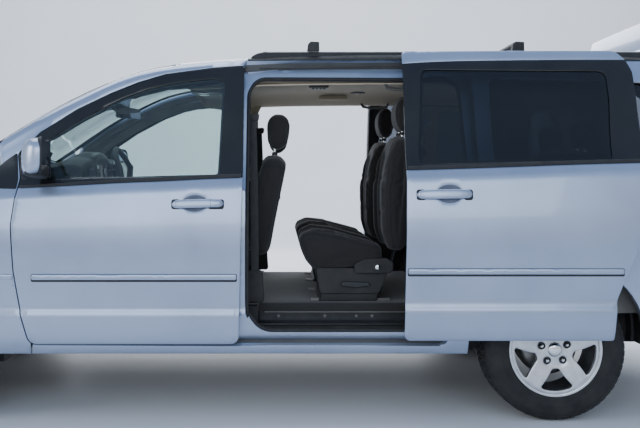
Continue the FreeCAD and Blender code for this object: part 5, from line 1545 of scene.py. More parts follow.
# ------------------------------------------------------------------ roof rails and crossbars
for nm, s in (("left", -1), ("right", 1)):
    us = np.concatenate([[1622, 1630, 1650], np.linspace(1690, 3620, 60), [3660, 3680, 3688]])
    rings = []
    for u in us:
        zt = 1794.0
        e = min(1.0, (u - 1616) / 60.0, (3694 - u) / 60.0) ** 0.5
        zb = float(surf(np.array([u]), np.array([float(k_of_s(s_from_y(np.array([u]), np.array([676.0]), 8.5))[0])]))[0, 1]) - 2
        h = (zt - zb) * e
        pts = [(-16, 0), (-15, 0.55), (-12, 0.86), (-6, 1.0), (5, 1.0), (11, 0.86), (15, 0.5), (16, 0)]
        rings.append([(u, s * (676 - y), zb + h * z) for y, z in pts])
    r_ = rings_mesh(nm + "_roof_rail", rings, BLACK_GRAIN, angle=50)
    if s < 0 and "roof_rails" in NODES:
        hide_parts("roof_rails")
    skirt = to_side([(1604, 1744), (3690, 1744), (3690, 1770), (1640, 1770), (1606, 1764)], 5, 22)
    panel(nm + "_rail_skirt", SIDE, skirt, mats=[BLACK_GRAIN], depth=6, hem=2.0, grid=(40, 14), lift=5, mirror=s > 0)
    uu = np.linspace(1700, 3610, 60)
    sweep(nm + "_rail_insert", [(u, s * 681.0, 1793.0) for u in uu], 3, ALLOY, flat=(4.0, 2.2, (0, 0, 1)))
for i, u in enumerate((1935.0, 2965.0)):
    ys = np.concatenate([[-674, -670], np.linspace(-650, 650, 41), [670, 674]])
    rings = []
    for y in ys:
        crown = 0.0
        pts = [(-26, 6), (-25, 13), (-17, 21), (-6, 23.5), (8, 23.5), (19, 20), (26, 12), (26, 4), (20, 0), (-20, 0)]
        rings.append([(u + a, y, 1822 + b) for a, b in pts])
    r_ = rings_mesh("crossbar_%d" % i, rings, BLACK_GRAIN, angle=45)
    if i == 0:
        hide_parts("roof_crossbars")
    for y in (-220, 0, 220):
        sweep("crossbar_rib_%d_%d" % (i, y), [(u - 10, y - 90, 1845.0), (u - 10, y + 90, 1845.0)], 2, RUBBER, flat=(5, 1.0, (0, 0, 1)))
    for s in (-1, 1):
        prism("crossbar_foot_%d_%d" % (i, s), [(u - 30, 1794), (u + 30, 1794), (u + 29, 1842), (u - 14, 1844), (u - 28, 1830)], s * 676 - 22,
              s * 676 + 22, BLACK_GRAIN, bevel=4, segments=3)

# ------------------------------------------------------------------ mirrors
for nm, mir, bd in (("left", False, "left_front_door_body"), ("right", True, "right_front_door_body")):
    def mring(y, u0, u1, z0, z1, lean, r=0.35):
        pts = []
        cu, cz = (u0 + u1) / 2, (z0 + z1) / 2
        for c in np.linspace(0, 2 * math.pi, 28, endpoint=False):
            a = math.copysign(abs(math.cos(c)) ** 0.52, math.cos(c))
            b = math.copysign(abs(math.sin(c)) ** 0.52, math.sin(c))
            front = max(0.0, -a)
            pts.append((cu + (u1 - u0) / 2 * a + lean * (b > 0) * b * 0.6, y, cz + (z1 - z0) / 2 * b * (1 - 0.16 * front ** 2)))
        return pts
    MU = 152.0
    cap = [mring(-953, 474 + MU, 512 + MU, 1188, 1296, 6), mring(-968, 448 + MU, 513 + MU, 1180, 1324, 8),
           mring(-1000, 426 + MU, 513 + MU, 1176, 1344, 9), mring(-1040, 418 + MU, 513 + MU, 1175, 1349, 9),
           mring(-1080, 427 + MU, 513 + MU, 1178, 1344, 9), mring(-1104, 444 + MU, 512 + MU, 1188, 1330, 7),
           mring(-1116, 466 + MU, 510 + MU, 1208, 1308, 4), mring(-1120, 484 + MU, 504 + MU, 1232, 1284, 0)]
    def turned(rings_):
        return [[(u_ - 4 + 0.29 * (-y_ - 1040), y_, z_ + (u_ - 640) * (0.24 if z_ < 1262 else 0.17)) for u_, y_, z_ in r_] for r_ in rings_]
    cap = turned(cap)
    cp = rings_mesh(nm + "_mirror_cap", cap, PAINT, body=bd, angle=60, mirror=mir, subdiv=1)
    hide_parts(nm + "_mirror")
    def oval(ry, rz, cz=1262.0):
        return [(-1038 - ry * math.copysign(abs(math.cos(c)) ** 0.7, math.cos(c)), cz + rz * math.copysign(abs(math.sin(c)) ** 0.6, math.sin(c)))
                for c in np.linspace(0, 2 * math.pi, 44, endpoint=False)]
    rim = [[(u_ + MU, y_, z_) for y_, z_ in oval(ry, rz)] for u_, ry, rz in
           ((504, 79, 84), (511, 81, 86.5), (515, 80, 85.5), (515, 75, 80.5), (508, 73.5, 79), (500, 73, 78), (497, 73, 78), (497, 78, 83))]
    rings_mesh(nm + "_mirror_rim", turned(rim + [rim[0]]), BLACK_GRAIN, body=bd, angle=50, mirror=mir, caps=False)
    rings_mesh(nm + "_mirror_back", turned([[(u_ + MU, y_, z_) for y_, z_ in oval(74, 79)] for u_ in (494.0, 498.5)]), BLACK_GRAIN, body=bd, angle=50,
               mirror=mir)
    rings_mesh(nm + "_mirror_glass", turned([[(u_ + MU, y_, z_) for y_, z_ in oval(71, 76)] for u_ in (499.0, 501.5)]), MIRROR_GLASS, body=bd, angle=50,
               mirror=mir)
    lowr = [mring(-905, 606, 668, 1152, 1222, 0), mring(-940, 602, 668, 1154, 1224, 0), mring(-965, 588, 668, 1156, 1216, 0),
            mring(-1010, 434 + MU, 512 + MU, 1162, 1206, 0), mring(-1060, 434 + MU, 508 + MU, 1164, 1202, 0),
            mring(-1098, 448 + MU, 504 + MU, 1174, 1204, 0)]
    rings_mesh(nm + "_mirror_base", lowr, BLACK_GRAIN, body=bd, angle=60, mirror=mir, subdiv=1)
    sail = to_side([(528, 1150), (668, 1158), (664, 1200), (650, 1330), (600, 1350), (524, 1284)], 14, 16)
    panel(nm + "_sail_cover", SIDE, sail, mats=[BLACK_GLOSS], depth=5, hem=1.5, grid=(24, 24), lift=2.2, body=bd, mirror=mir, crease=False)
    tri = to_side([(322, 1112), (420, 1108), (507, 1106), (511, 1150), (497, 1282), (440, 1240), (380, 1180)], [20, 0, 6, 0, 6, 60, 60], 16)
    panel(nm + "_pillar_triangle", SIDE, tri, mats=[BLACK_GLOSS], depth=3, hem=1.0, grid=(24, 24), lift=1.8, mirror=mir, crease=False)

# ------------------------------------------------------------------ wheels
class Flat:
    """Chart (x, z) of a wheel's face: y steps in from the face plane by a dish profile."""

    def __init__(self, u, y, z, sgn, dish):
        self.u, self.y, self.z, self.sgn, self.dish = u, y, z, sgn, dish
        self.lines = []
        self.out = -sgn

    def pos(self, q):
        r = np.hypot(q[:, 0], q[:, 1])
        d = np.interp(r, self.dish[0], self.dish[1])
        return np.stack([self.u + q[:, 0], self.y + self.sgn * d, self.z + q[:, 1]], 1)


def polar(a, r):
    return np.array([r * math.cos(a), r * math.sin(a)])


def wheel_pieces(nm, u, hy, s, tyre_body):
    """A tyre with tread, a five-spoke rim with its lip, nuts, cap and valve."""
    y = s * hy
    W = TYRE_W / 2.0
    face = y + s * 92.0
    # tyre: sidewalls with rings, shoulders and the tread's ground
    side = [(RIM_R - 3, 99), (RIM_R + 4, 106), (RIM_R + 10, 109.5), (RIM_R + 14, 110.5), (RIM_R + 18, 109.5), (248, 110.6), (262, 111.8),
            (264, 112.4), (267, 112.4), (269, 111.9), (284, 111.6), (296, 110.4), (299, 110.9), (302, 110.2), (312, 107), (322, 102.0),
            (329, 95.5), (333.5, 86.0)]
    prof = [(r, -d) for r, d in side] + [(r, d) for r, d in side[::-1]]
    prof = [(RIM_R - 3, 99.0)] + [(RIM_R - 3, -99.0)] + prof[1:-1]
    t = lathe(nm + "_tyre_body", prof, (u, y, TYRE_R), [TYRE], n=120, body=tyre_body, closed=True, sgn=1.0)
    fix_normals(t)
    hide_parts(nm + "_tyre")
    # tread: ribs of blocks between grooves
    verts, faces = [], []
    rows = [(-86, -58, 60, 0.0, 331.5), (-52, -20, 72, 0.35, 332.5), (-14, 14, 72, 0.1, 332.5), (20, 52, 72, 0.35, 332.5),
            (58, 86, 60, 0.0, 331.5)]
    for y0, y1, cnt, ph, rb in rows:
        for k in range(cnt):
            a0, a1 = 2 * math.pi * (k + ph + 0.05) / cnt, 2 * math.pi * (k + ph + 0.90) / cnt
            b = len(verts)
            sk = 0.010 if y0 > 0 else -0.010
            for rr, inset_ in ((rb - 5, 0.0), (339.6, 0.004)):
                for aa, yy in ((a0 + inset_, y0), (a1 - inset_, y0), (a1 - inset_ + sk, y1), (a0 + inset_ + sk, y1)):
                    edge = 1.2 if rr > 335 else 0
                    yv = yy + (edge if yy == y0 else -edge)
                    r2 = rr - (3.0 if rr > 335 and abs(yv) > 80 else 0)
                    verts.append((u + r2 * math.cos(aa), y + yv, TYRE_R + r2 * math.sin(aa)))
            faces += [(b + 4, b + 5, b + 6, b + 7), (b, b + 1, b + 5, b + 4), (b + 1, b + 2, b + 6, b + 5), (b + 2, b + 3, b + 7, b + 6),
                      (b + 3, b, b + 4, b + 7)]
    tr = link(nm + "_tyre_tread", M(np.array(verts)), faces, [TYRE], smooth=False, body=tyre_body)
    fix_normals(tr)
    # shoulder blocks on both sides
    verts, faces = [], []
    for sd in (-1, 1):
        for k in range(60):
            a0, a1 = 2 * math.pi * (k + 0.12) / 60, 2 * math.pi * (k + 0.84) / 60
            b = len(verts)
            for (r, d) in ((333, 88), (325, 100.5), (314, 107.5)):
                for aa in (a0, a1):
                    verts.append((u + (r + 1.6) * math.cos(aa), y + sd * (d + 0.8), TYRE_R + (r + 1.6) * math.sin(aa)))
            for (r, d) in ((331, 87), (323, 99), (312, 106)):
                for aa in (a0, a1):
                    verts.append((u + (r - 2) * math.cos(aa), y + sd * (d - 2), TYRE_R + (r - 2) * math.sin(aa)))
            faces += [(b, b + 1, b + 3, b + 2), (b + 2, b + 3, b + 5, b + 4), (b, b + 2, b + 8, b + 6), (b + 2, b + 4, b + 10, b + 8),
                      (b + 1, b + 7, b + 9, b + 3), (b + 3, b + 9, b + 11, b + 5), (b + 4, b + 5, b + 11, b + 10)]
    sh = link(nm + "_tyre_shoulders", M(np.array(verts)), faces, [TYRE], smooth=False, body=tyre_body)
    fix_normals(sh)
    # rim: lip and barrel
    lip = [(RIM_R - 1, 92), (RIM_R + 1.5, 98), (RIM_R + 3.5, 104.5), (RIM_R + 2, 108), (RIM_R - 3, 108.6), (RIM_R - 9, 106), (RIM_R - 12, 101),
           (RIM_R - 13, 95), (RIM_R - 17, 90), (RIM_R - 20, 70), (RIM_R - 26, -60), (RIM_R - 20, -96), (RIM_R - 8, -104), (RIM_R - 2, -104),
           (RIM_R - 2, -60)]
    rm = lathe(nm + "_rim_barrel", [(r, d) for r, d in lip], (u, y, TYRE_R), [ALLOY, ALLOY_PAINTED_SHADE], n=96, body=tyre_body, closed=True,
               sgn=float(s), face_mats=[0] * 8 + [1] * 7)
    fix_normals(rm)
    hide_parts(nm + "_rim")
    # spoked face
    rot = math.radians(2.5)
    dish = ((0, 30, 44, 78, 96, 150, 196, 206), (-4, -4, -6, -7, -2, 5, 9.5, 9.0))
    ch = Flat(u, face, TYRE_R, float(s), dish)
    outline = disc_loop(0, 0, 207.5, 207.5, 110)
    holes = []
    for k in range(5):
        c = rot + math.radians(90 + 36 + 72 * k)
        hw0, hw1 = math.radians(11.0), math.radians(25.5)
        pts = []
        for r, hw in ((92, 0.16), (112, 0.235), (140, 0.31), (170, 0.375), (190, 0.415)):
            pts.append(polar(c - hw, r))
        arc = [polar(c + f, 195) for f in np.linspace(-0.415, 0.415, 12)]
        back_ = [polar(c + hw, r) for r, hw in ((190, 0.415), (170, 0.375), (140, 0.31), (112, 0.235), (92, 0.16))]
        loop = pts + arc[1:-1] + back_
        holes.append(resample(rounded(np.array(loop), [16, 0, 0, 0, 18] + [0] * 10 + [18, 0, 0, 0, 16]), 9.0))
    pockets = []
    for k in range(5):
        c = rot + math.radians(90 + 72 * k)
        p = polar(c, 63.5)
        pockets.append(disc_loop(p[0], p[1], 16.5, 16.5, 20))
    centre = disc_loop(0, 0, 31.5, 31.5, 30)
    panel(nm + "_rim_face", ch, outline, holes=holes + pockets + [centre], mats=[ALLOY], depth=26, hem=4.0, grid=(13, 13), body=tyre_body,
          crease=False)
    # pockets, nuts and the plain cap
    for k in range(5):
        c = rot + math.radians(90 + 72 * k)
        p = polar(c, 63.5)
        # the nut pockets take the darker alloy copy as painted shade
        lathe("%s_nut_pocket_%d" % (nm, k), [(17.2, -3), (16.6, -24), (0.1, -25)], (u + p[0], face, TYRE_R + p[1]), [ALLOY_PAINTED_SHADE], n=20,
              sgn=float(s), body=tyre_body)
        lathe("%s_nut_%d" % (nm, k), [(11.2, -25), (11.2, -8), (10.4, -4), (8.0, 1.0), (4.0, 3.6), (0.1, 4.2)], (u + p[0], face, TYRE_R + p[1]),
              [CHROME], n=6, sgn=float(s), body=tyre_body, angle=25)
    lathe(nm + "_cap", [(33, -10), (33.5, -3), (31.5, 2.5), (27, 6.5), (19, 9.5), (8, 11.2), (0.1, 11.5)], (u, face, TYRE_R), [CHROME], n=48,
          sgn=float(s), body=tyre_body)
    lathe(nm + "_cap_ring", [(34.6, -6), (34.8, -1.0), (33.2, 0.2), (32.6, -3)], (u, face, TYRE_R), [CHROME], n=48, sgn=float(s),
          body=tyre_body)
    # valve
    vp = polar(rot + math.radians(90 + 36), 186)
    lathe(nm + "_valve", [(4, -40), (4, 2), (3.2, 4), (3.2, 12), (0.1, 13)], (u + vp[0], face - s * 20, TYRE_R + vp[1]), [RUBBER], n=12,
          sgn=float(s), body=tyre_body)


for nm, u, hy, s in (("left_front", 0.0, HALF_F, -1), ("right_front", 0.0, HALF_F, 1), ("left_rear", WB, HALF_R, -1),
                     ("right_rear", WB, HALF_R, 1)):
    wheel_pieces(nm, u, hy, s, nm + "_wheel")
for nm, s in (("left", -1), ("right", 1)):
    # slotted disc at the front, finned drum at the rear
    yd = s * (HALF_F + 0)
    lathe(nm + "_brake_disc", [(66, 16), (150, 16), (151.5, 15), (151.5, 7), (146, 6.5), (146, 0.5), (151.5, 0), (151.5, -8), (150, -9), (66, -9),
                               (66, 16)], (0.0, yd, TYRE_R), [STEEL], n=72, sgn=float(s), body=nm + "_steer")
    yr = s * (HALF_R - 66)
    lathe(nm + "_brake_drum", [(0.1, 64), (60, 64), (66, 60), (120, 58), (134, 52), (141, 44), (142.5, 30), (144.5, 29), (144.5, 24), (142.5, 23),
                               (142.5, 2), (146, 0), (146, -8), (136, -10), (60, -12)], (WB, yr, TYRE_R), [STEEL], n=72, sgn=float(s))

# ------------------------------------------------------------------ seats
PADS = []


def even(profile, r, n):
    """A closed side profile with rounded corners and n evenly spaced points, turning left."""
    q = resample(rounded(np.asarray(profile, float), r), 3.0)
    if area(q) < 0:
        q = q[::-1]
    q = np.vstack([q, q[:1]])
    d = np.concatenate([[0], np.cumsum(np.linalg.norm(np.diff(q, axis=0), axis=1))])
    t = np.linspace(0, d[-1], n, endpoint=False)
    return np.stack([np.interp(t, d, q[:, 0]), np.interp(t, d, q[:, 1])], 1)


def smooth(x, a, b):
    t = np.clip((np.asarray(x, float) - a) / (b - a), 0, 1)
    return t * t * (3 - 2 * t)


def pad(name, profile, width, y0, kind, r=30, voxel=8.0, cap=6.0, hollow=30.0, ends=30.0):
    """A stuffed pad: its side profile across the seat, pulled in at the ends, with a sunken middle between its bolsters."""
    P = even(profile, r, 56)
    e = np.roll(P, -1, 0) - np.roll(P, 1, 0)
    e /= np.linalg.norm(e, axis=1)[:, None]
    nr = np.stack([e[:, 1], -e[:, 0]], 1)
    z0, z1 = P[:, 1].min(), P[:, 1].max()
    rings = []
    for t in (-1, -0.99, -0.965, -0.92, -0.85, -0.76, -0.66, -0.56, -0.46, -0.3, -0.1, 0.1, 0.3, 0.46, 0.56, 0.66, 0.76, 0.85, 0.92, 0.965, 0.99, 1):
        q = P - nr * ends * max(0.0, (abs(t) - 0.78) / 0.22) ** 2.6
        f = float(smooth(abs(t), 0.74, 0.46))
        fy = np.ones(len(q))
        if kind == "cushion":
            q[:, 1] -= hollow * f * np.clip(nr[:, 1], 0, 1) ** 0.7
            q[:, 0] += 10 * (1 - t * t) * np.clip(-nr[:, 0], 0, 1) - 10 * np.clip(-nr[:, 0], 0, 1)
        elif kind == "back":
            q[:, 0] += hollow * f * np.clip(-nr[:, 0], 0, 1) ** 0.7 * smooth(q[:, 1], z1 - 20, z1 - 130)
            fy = 1 - 0.20 * smooth(q[:, 1], z0 + 0.5 * (z1 - z0), z1 + 30) ** 1.3
            q[:, 1] -= 26 * smooth(abs(t), 0.3, 1.05) * smooth(q[:, 1], z1 - 120, z1)
        else:
            q[:, 1] -= 20 * abs(t) ** 2.5 * smooth(q[:, 1], z0, z1)
            fy = 1 - 0.16 * smooth(q[:, 1], z0 + 40, z0)
        rings.append([(q[i, 0], y0 + t * width / 2 * fy[i], q[i, 1]) for i in range(len(q))])
    ob = rings_mesh(name, rings, SEAT, angle=0)
    ob["y0"], ob["half"] = y0, width / 2
    ob.data.materials.append(SEAT_MESH)
    PADS.append((ob, voxel, cap, kind))
    return ob


SEAT_KINDS = {
    "front": dict(y=-385, w=500,
                  cushion=[(1112, 830), (1124, 878), (1165, 900), (1310, 888), (1480, 866), (1604, 852), (1616, 770), (1600, 742), (1160, 738), (1126, 780)],
                  back=[(1624, 776), (1596, 900), (1618, 1050), (1656, 1180), (1676, 1252), (1700, 1284), (1768, 1282), (1799, 1248), (1774, 1122),
                        (1737, 940), (1706, 770), (1660, 752)],
                  head=[(1703, 1430), (1706, 1476), (1730, 1495), (1776, 1496), (1808, 1482), (1816, 1448), (1810, 1390), (1804, 1340), (1772, 1312),
                        (1730, 1306), (1707, 1345)], hw=250, posts=(1742, 1262, 1330), base=(1180, 1560, 738)),
    "second": dict(y=-400, w=520,
                   cushion=[(1864, 834), (1877, 878), (1922, 895), (2040, 882), (2180, 844), (2290, 814), (2296, 712), (1944, 692), (1904, 742)],
                   back=[(2318, 786), (2296, 880), (2292, 1000), (2292, 1112), (2312, 1230), (2344, 1340), (2370, 1384), (2424, 1384), (2444, 1340),
                         (2428, 1100), (2412, 820), (2392, 780)],
                   head=[(2374, 1490), (2380, 1556), (2408, 1590), (2446, 1590), (2466, 1554), (2468, 1484), (2456, 1418), (2430, 1398), (2402, 1404),
                         (2384, 1438)], hw=250, posts=(2416, 1368, 1422), base=(1956, 2262, 694)),
    "third": dict(y=-291, w=556,
                  cushion=[(2834, 830), (2846, 878), (2885, 899), (3030, 888), (3180, 866), (3284, 852), (3292, 770), (3280, 742), (2880, 738), (2846, 780)],
                  back=[(3304, 776), (3296, 900), (3318, 1050), (3342, 1180), (3360, 1252), (3384, 1284), (3440, 1282), (3466, 1248), (3446, 1122),
                        (3426, 940), (3404, 780), (3350, 760)],
                  head=[(3384, 1400), (3388, 1444), (3412, 1468), (3456, 1468), (3484, 1452), (3492, 1420), (3486, 1370), (3474, 1330), (3448, 1316),
                        (3412, 1318), (3390, 1350)], hw=230, posts=(3424, 1262, 1340), base=(2900, 3250, 738)),
}
for kn, K in SEAT_KINDS.items():
    vox = 7.0 if kn == "second" else 8.5
    pad("left_%s_cushion" % kn, K["cushion"], K["w"] - 8, K["y"], "cushion", r=26, voxel=vox)
    pad("left_%s_backrest" % kn, K["back"], K["w"] - 12, K["y"], "back", r=26, voxel=vox)
    pad("left_%s_headrest" % kn, K["head"], K["hw"] - 4, K["y"], "head", r=34, voxel=6.0, cap=5.0, ends=34.0)
arm = pad("third_row_armrest", [(3168, 822), (3168, 980), (3180, 996), (3236, 996), (3250, 980), (3254, 822)], 96, 0, "head", r=16, voxel=6.0, cap=4.0,
          ends=14.0)


def plain_mesh(ob):
    """The mesh with its modifiers worked in and taken off."""
    dg = bpy.context.evaluated_depsgraph_get()
    me = bpy.data.meshes.new_from_object(ob.evaluated_get(dg))
    ob.modifiers.clear()
    old = ob.data
    ob.data = me
    bpy.data.meshes.remove(old)
    return me


def coords(me):
    a = np.empty(len(me.vertices) * 3, np.float32)
    me.vertices.foreach_get("co", a)
    return a.reshape(-1, 3).astype(float)


for ob, voxel, cap, kind in PADS:
    md = ob.modifiers.new("voxels", "REMESH")
    md.mode = "VOXEL"
    md.voxel_size = voxel / 1000.0
    md.use_smooth_shade = True
    plain_mesh(ob)
REST = {}
for ob, voxel, cap, kind in PADS:
    REST[ob.name] = coords(ob.data)
    cl = ob.modifiers.new("cloth", "CLOTH")
    st = cl.settings
    st.quality = 4
    st.mass = 0.25
    st.tension_stiffness = st.compression_stiffness = 12
    st.shear_stiffness = 6
    st.bending_stiffness = 0.6
    st.use_pressure = True
    st.uniform_pressure_force = 4.0
    st.effector_weights.gravity = 0.0
    cl.collision_settings.use_collision = False
    cl.collision_settings.use_self_collision = False
    cl.point_cache.frame_start, cl.point_cache.frame_end = 1, 20
for fr in range(1, 21):
    SCENE.frame_set(fr)
for ob, voxel, cap, kind in PADS:
    me = plain_mesh(ob)
    d = coords(me) - REST[ob.name]
    ln = np.linalg.norm(d, axis=1)
    d *= np.minimum(1.0, cap / 1000.0 / np.maximum(ln, 1e-9))[:, None]
    me.vertices.foreach_set("co", (REST[ob.name] + d).astype(np.float32).ravel())
    me.update()
SCENE.frame_set(1)


def tuck(ob, path, depth=7.0, width=11.0):
    """A sewn channel: the surface drawn in along a path in (u, y, z) mm."""
    me = ob.data
    p = coords(me)
    q = M(np.asarray(path, float))
    best = np.full(len(p), 1e9)
    for a, b in zip(q[:-1], q[1:]):
        ab = b - a
        t = np.clip(((p - a) @ ab) / max(1e-12, ab @ ab), 0, 1)
        best = np.minimum(best, np.linalg.norm(p - (a + t[:, None] * ab), axis=1))
    w = np.exp(-(best / (width / 1000.0)) ** 2)
    nn = np.empty(len(p) * 3, np.float32)
    me.vertices.foreach_get("normal", nn)
    p -= nn.reshape(-1, 3) * (w * depth / 1000.0)[:, None]
    me.vertices.foreach_set("co", p.astype(np.float32).ravel())
    me.update()


def laid(ob, path, step=9.0, lift=0.6):
    """A path moved onto the surface of a pad, as points in (u, y, z) mm."""
    me = ob.data
    tree = BVHTree.FromPolygons([v.co for v in me.vertices], [tuple(f.vertices) for f in me.polygons])
    p = np.asarray(path, float)
    d = np.concatenate([[0], np.cumsum(np.linalg.norm(np.diff(p, axis=0), axis=1))])
    t = np.linspace(0, d[-1], max(3, int(d[-1] / step)))
    out = []
    for i in range(len(t)):
        q = M(np.array([np.interp(t[i], d, p[:, j]) for j in range(3)]))
        co, no, _, _ = tree.find_nearest(Vector(q))
        c = np.array(co + no * (lift / 1000.0)) * 1000.0
        out.append((c[0] + X0, c[1], c[2]))
    out = np.array(out)
    for _ in range(2):
        out[1:-1] = (out[:-2] + 2 * out[1:-1] + out[2:]) / 4
    return out


PIPES = []
for kn, K in SEAT_KINDS.items():
    y0, h = K["y"], K["w"] / 2.0
    cu, bk, hd = (bpy.data.objects["left_%s_%s" % (kn, k)] for k in ("cushion", "backrest", "headrest"))
    cp, bp = np.array(K["cushion"], float), np.array(K["back"], float)
    for s in (-1, 1):
        top_line = [(u, y0 + s * h * 0.6, z + 4) for u, z in cp[1:6]]
        front_line = [(cp[0, 0] - 6, y0 + s * h * 0.6, cp[0, 1]), (cp[-1, 0] - 4, y0 + s * h * 0.6, cp[-1, 1])]
        tuck(cu, front_line[::-1] + top_line, 9.0)
        nb = 6 if kn != "second" else 7
        line = [(u + 4, y0 + s * h * 0.6, z) for u, z in bp[:nb - 1]]
        tuck(bk, line, 9.0)
        tuck(cu, [(u, y0 + s * h * 0.955, z - 26) for u, z in cp[1:6]], 5.0, 8.0)
        tuck(bk, [(u + 40, y0 + s * h * 0.96 * (1.0 if z < bp[:, 1].mean() + 80 else 0.9), z) for u, z in bp[:nb]], 5.0, 8.0)
    for f in (0.42, 0.72):
        ix = cp[1, 0] + (cp[5, 0] - cp[1, 0]) * f
        tuck(cu, [(ix, y0 + t * h * 0.58, np.interp(ix, cp[1:6, 0], cp[1:6, 1]) - 26) for t in (-1, 0, 1)], 7.0)
    zb = bp[0, 1] + (bp[:, 1].max() - bp[0, 1]) * np.array([0.30, 0.62])
    for z in zb:
        ub = float(np.interp(z, bp[:6, 1], bp[:6, 0]))
        tuck(bk, [(ub + 30, y0 + t * h * 0.58, z) for t in (-1, 0, 1)], 7.0)
    hp = np.array(K["head"], float)
    hc = hp.mean(0)
    for s in (-1, 1):
        rim = hc + (np.vstack([hp, hp[:1]]) - hc) * 0.97
        tuck(hd, [(u, y0 + s * (K["hw"] / 2.0 - 16), z) for u, z in rim], 5.0, 7.0)
        if kn == "second" or kn == "front":
            PIPES.append(("left_%s_cushion_piping_%d" % (kn, s), laid(cu, [(u, y0 + s * h * 0.95, z + 2) for u, z in cp[0:6]])))
            PIPES.append(("left_%s_back_piping_%d" % (kn, s), laid(bk, [(u + 10, y0 + s * h * (0.96 if z < 1150 else 0.86), z) for u, z in bp[1:6]])))
    if kn == "front":
        # the pocket on the back, with its sewn edges
        for s in (-1, 1):
            PIPES.append(("left_front_pocket_edge_%d" % s, laid(bk, [(1806, y0 + s * 196, 1236), (1780, y0 + s * 204, 1122), (1745, y0 + s * 212, 940),
                                                                   (1722, y0 + s * 204, 830)])))
        PIPES.append(("left_front_pocket_top", laid(bk, [(1770, y0 - 205, 1062), (1772, y0, 1040), (1770, y0 + 205, 1062)])))
for nm, path in PIPES:
    sweep(nm, path, 2.6, RUBBER if "pocket_top" not in nm else BLACK_GRAIN, n=6)
PIPE_NAMES = [nm for nm, _ in PIPES]


def inserts(ob, kind):
    """The middle of the pad takes the open weave."""
    me = ob.data
    n = len(me.polygons)
    c = np.empty(n * 3, np.float32)
    me.polygons.foreach_get("center", c)
    nn = np.empty(n * 3, np.float32)
    me.polygons.foreach_get("normal", nn)
    c, nn = c.reshape(-1, 3) * 1000.0, nn.reshape(-1, 3)
    mid = abs(c[:, 1] - ob["y0"]) < 0.585 * ob["half"]
    face = nn[:, 2] > 0.35 if kind == "cushion" else nn[:, 0] < -0.35
    if kind == "head":
        mid &= False
    me.polygons.foreach_set("material_index", (mid & face).astype(np.int32))
    me.update()


def twin(ob, dy=None):
    """The same piece on the right of the van: moved across, or mirrored if dy is None."""
    me = ob.data.copy()
    p = coords(me)
    if dy is None:
        p[:, 1] *= -1
        me.vertices.foreach_set("co", p.astype(np.float32).ravel())
        me.flip_normals()
    else:
        p[:, 1] += dy / 1000.0
        me.vertices.foreach_set("co", p.astype(np.float32).ravel())
    me.update()
    o = bpy.data.objects.new(ob.name.replace("left_", "right_"), me)
    SCENE.collection.objects.link(o)
    for md in ob.modifiers:
        m2 = o.modifiers.new(md.name, md.type)
        for at_ in ("width", "segments", "limit_method", "angle_limit", "harden_normals"):
            if hasattr(md, at_):
                setattr(m2, at_, getattr(md, at_))
    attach(o, "root")
    return o


for ob, voxel, cap, kind in PADS:
    inserts(ob, kind)
    if ob.name.startswith("left_"):
        twin(ob)
for nm in PIPE_NAMES:
    twin(bpy.data.objects[nm])
for kn, node in (("front", "front_seats"), ("second", "second_row_seats"), ("third", "third_row_seat")):
    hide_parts(node)

for kn, K in SEAT_KINDS.items():
    y0, h = K["y"], K["w"] / 2.0
    made = []
    pu, pz0, pz1 = K["posts"]
    for s in (-1, 1):
        made.append(sweep("left_%s_headrest_post_%d" % (kn, s), [(pu - 4, y0 + s * 62, pz0), (pu, y0 + s * 62, pz1)], 6.5, CHROME, n=12))
        made.append(lathe("left_%s_post_guide_%d" % (kn, s), [(0.5, 10), (13, 10), (15, 7), (15, -6)], (pu - 3, y0 + s * 62, pz0 + 22), [CABIN], axis="z",
                          n=20))
    b0, b1, bz = K["base"]
    made.append(prism("left_%s_seat_base" % kn, [(b0, bz), (b0 + 18, FLOOR_Z + 30), (b0 + 6, FLOOR_Z + 3), (b1, FLOOR_Z + 3), (b1 + 40, bz)], y0 - h + 30,
                      y0 + h - 30, CABIN, bevel=9, segments=3))
    for s in (-1, 1):
        made.append(block("left_%s_seat_track_%d" % (kn, s), (b0 - 30, y0 + s * (h - 70) - 17, FLOOR_Z + 1), (b1 + 70, y0 + s * (h - 70) + 17, FLOOR_Z + 16),
                          STEEL, bevel=2))
    # the side plates with the recliner: a rounded cover, its pivot and the lever
    ru, rz = cp_end = (K["cushion"][5][0], K["cushion"][5][1])
    for s in (-1, 1):
        ya, yb = sorted((y0 + s * (h - 14), y0 + s * (h + 1)))
        made.append(prism("left_%s_recliner_cover_%d" % (kn, s), rounded([(ru - 148, rz - 140), (ru - 146, rz - 92), (ru - 96, rz - 66), (ru + 20, rz - 62),
                          (ru + 52, rz - 84), (ru + 50, rz - 138)], 20), ya, yb, CABIN, bevel=4, segments=3))
        made.append(lathe("left_%s_recliner_pivot_%d" % (kn, s), [(0.5, 6), (10, 6), (13, 4), (13, -4)], (ru - 28, y0 + s * (h + 1), rz - 108), [CHROME],
                          axis="y", n=24, sgn=float(s)))
        made.append(prism("left_%s_side_skirt_%d" % (kn, s), rounded([(b0 - 6, bz + 6), (b0 + 14, FLOOR_Z + 44), (b1 + 10, FLOOR_Z + 44), (b1 + 52, bz - 20),
                          (b1 + 40, bz + 6)], 14), min(y0 + s * (h - 34), y0 + s * (h - 20)), max(y0 + s * (h - 34), y0 + s * (h - 20)), CABIN,
                          bevel=4, segments=3))
    made.append(prism("left_%s_lever" % kn, rounded([(b0 + 118, bz - 84), (b0 + 124, bz - 62), (b0 + 262, bz - 66), (b0 + 268, bz - 84), (b0 + 200, bz - 92)], 8),
                      y0 - h + 4, y0 - h + 20, BLACK_GLOSS, bevel=3, segments=2))
    for o in made:
        twin(o)

# ------------------------------------------------------------------ headliner, trims and floor
def roof_z(u, y=0.0):
    """Height of the roof's skin at (u, y)."""
    return float(top_z(np.array([float(u)]), np.array([float(y)]))[0])


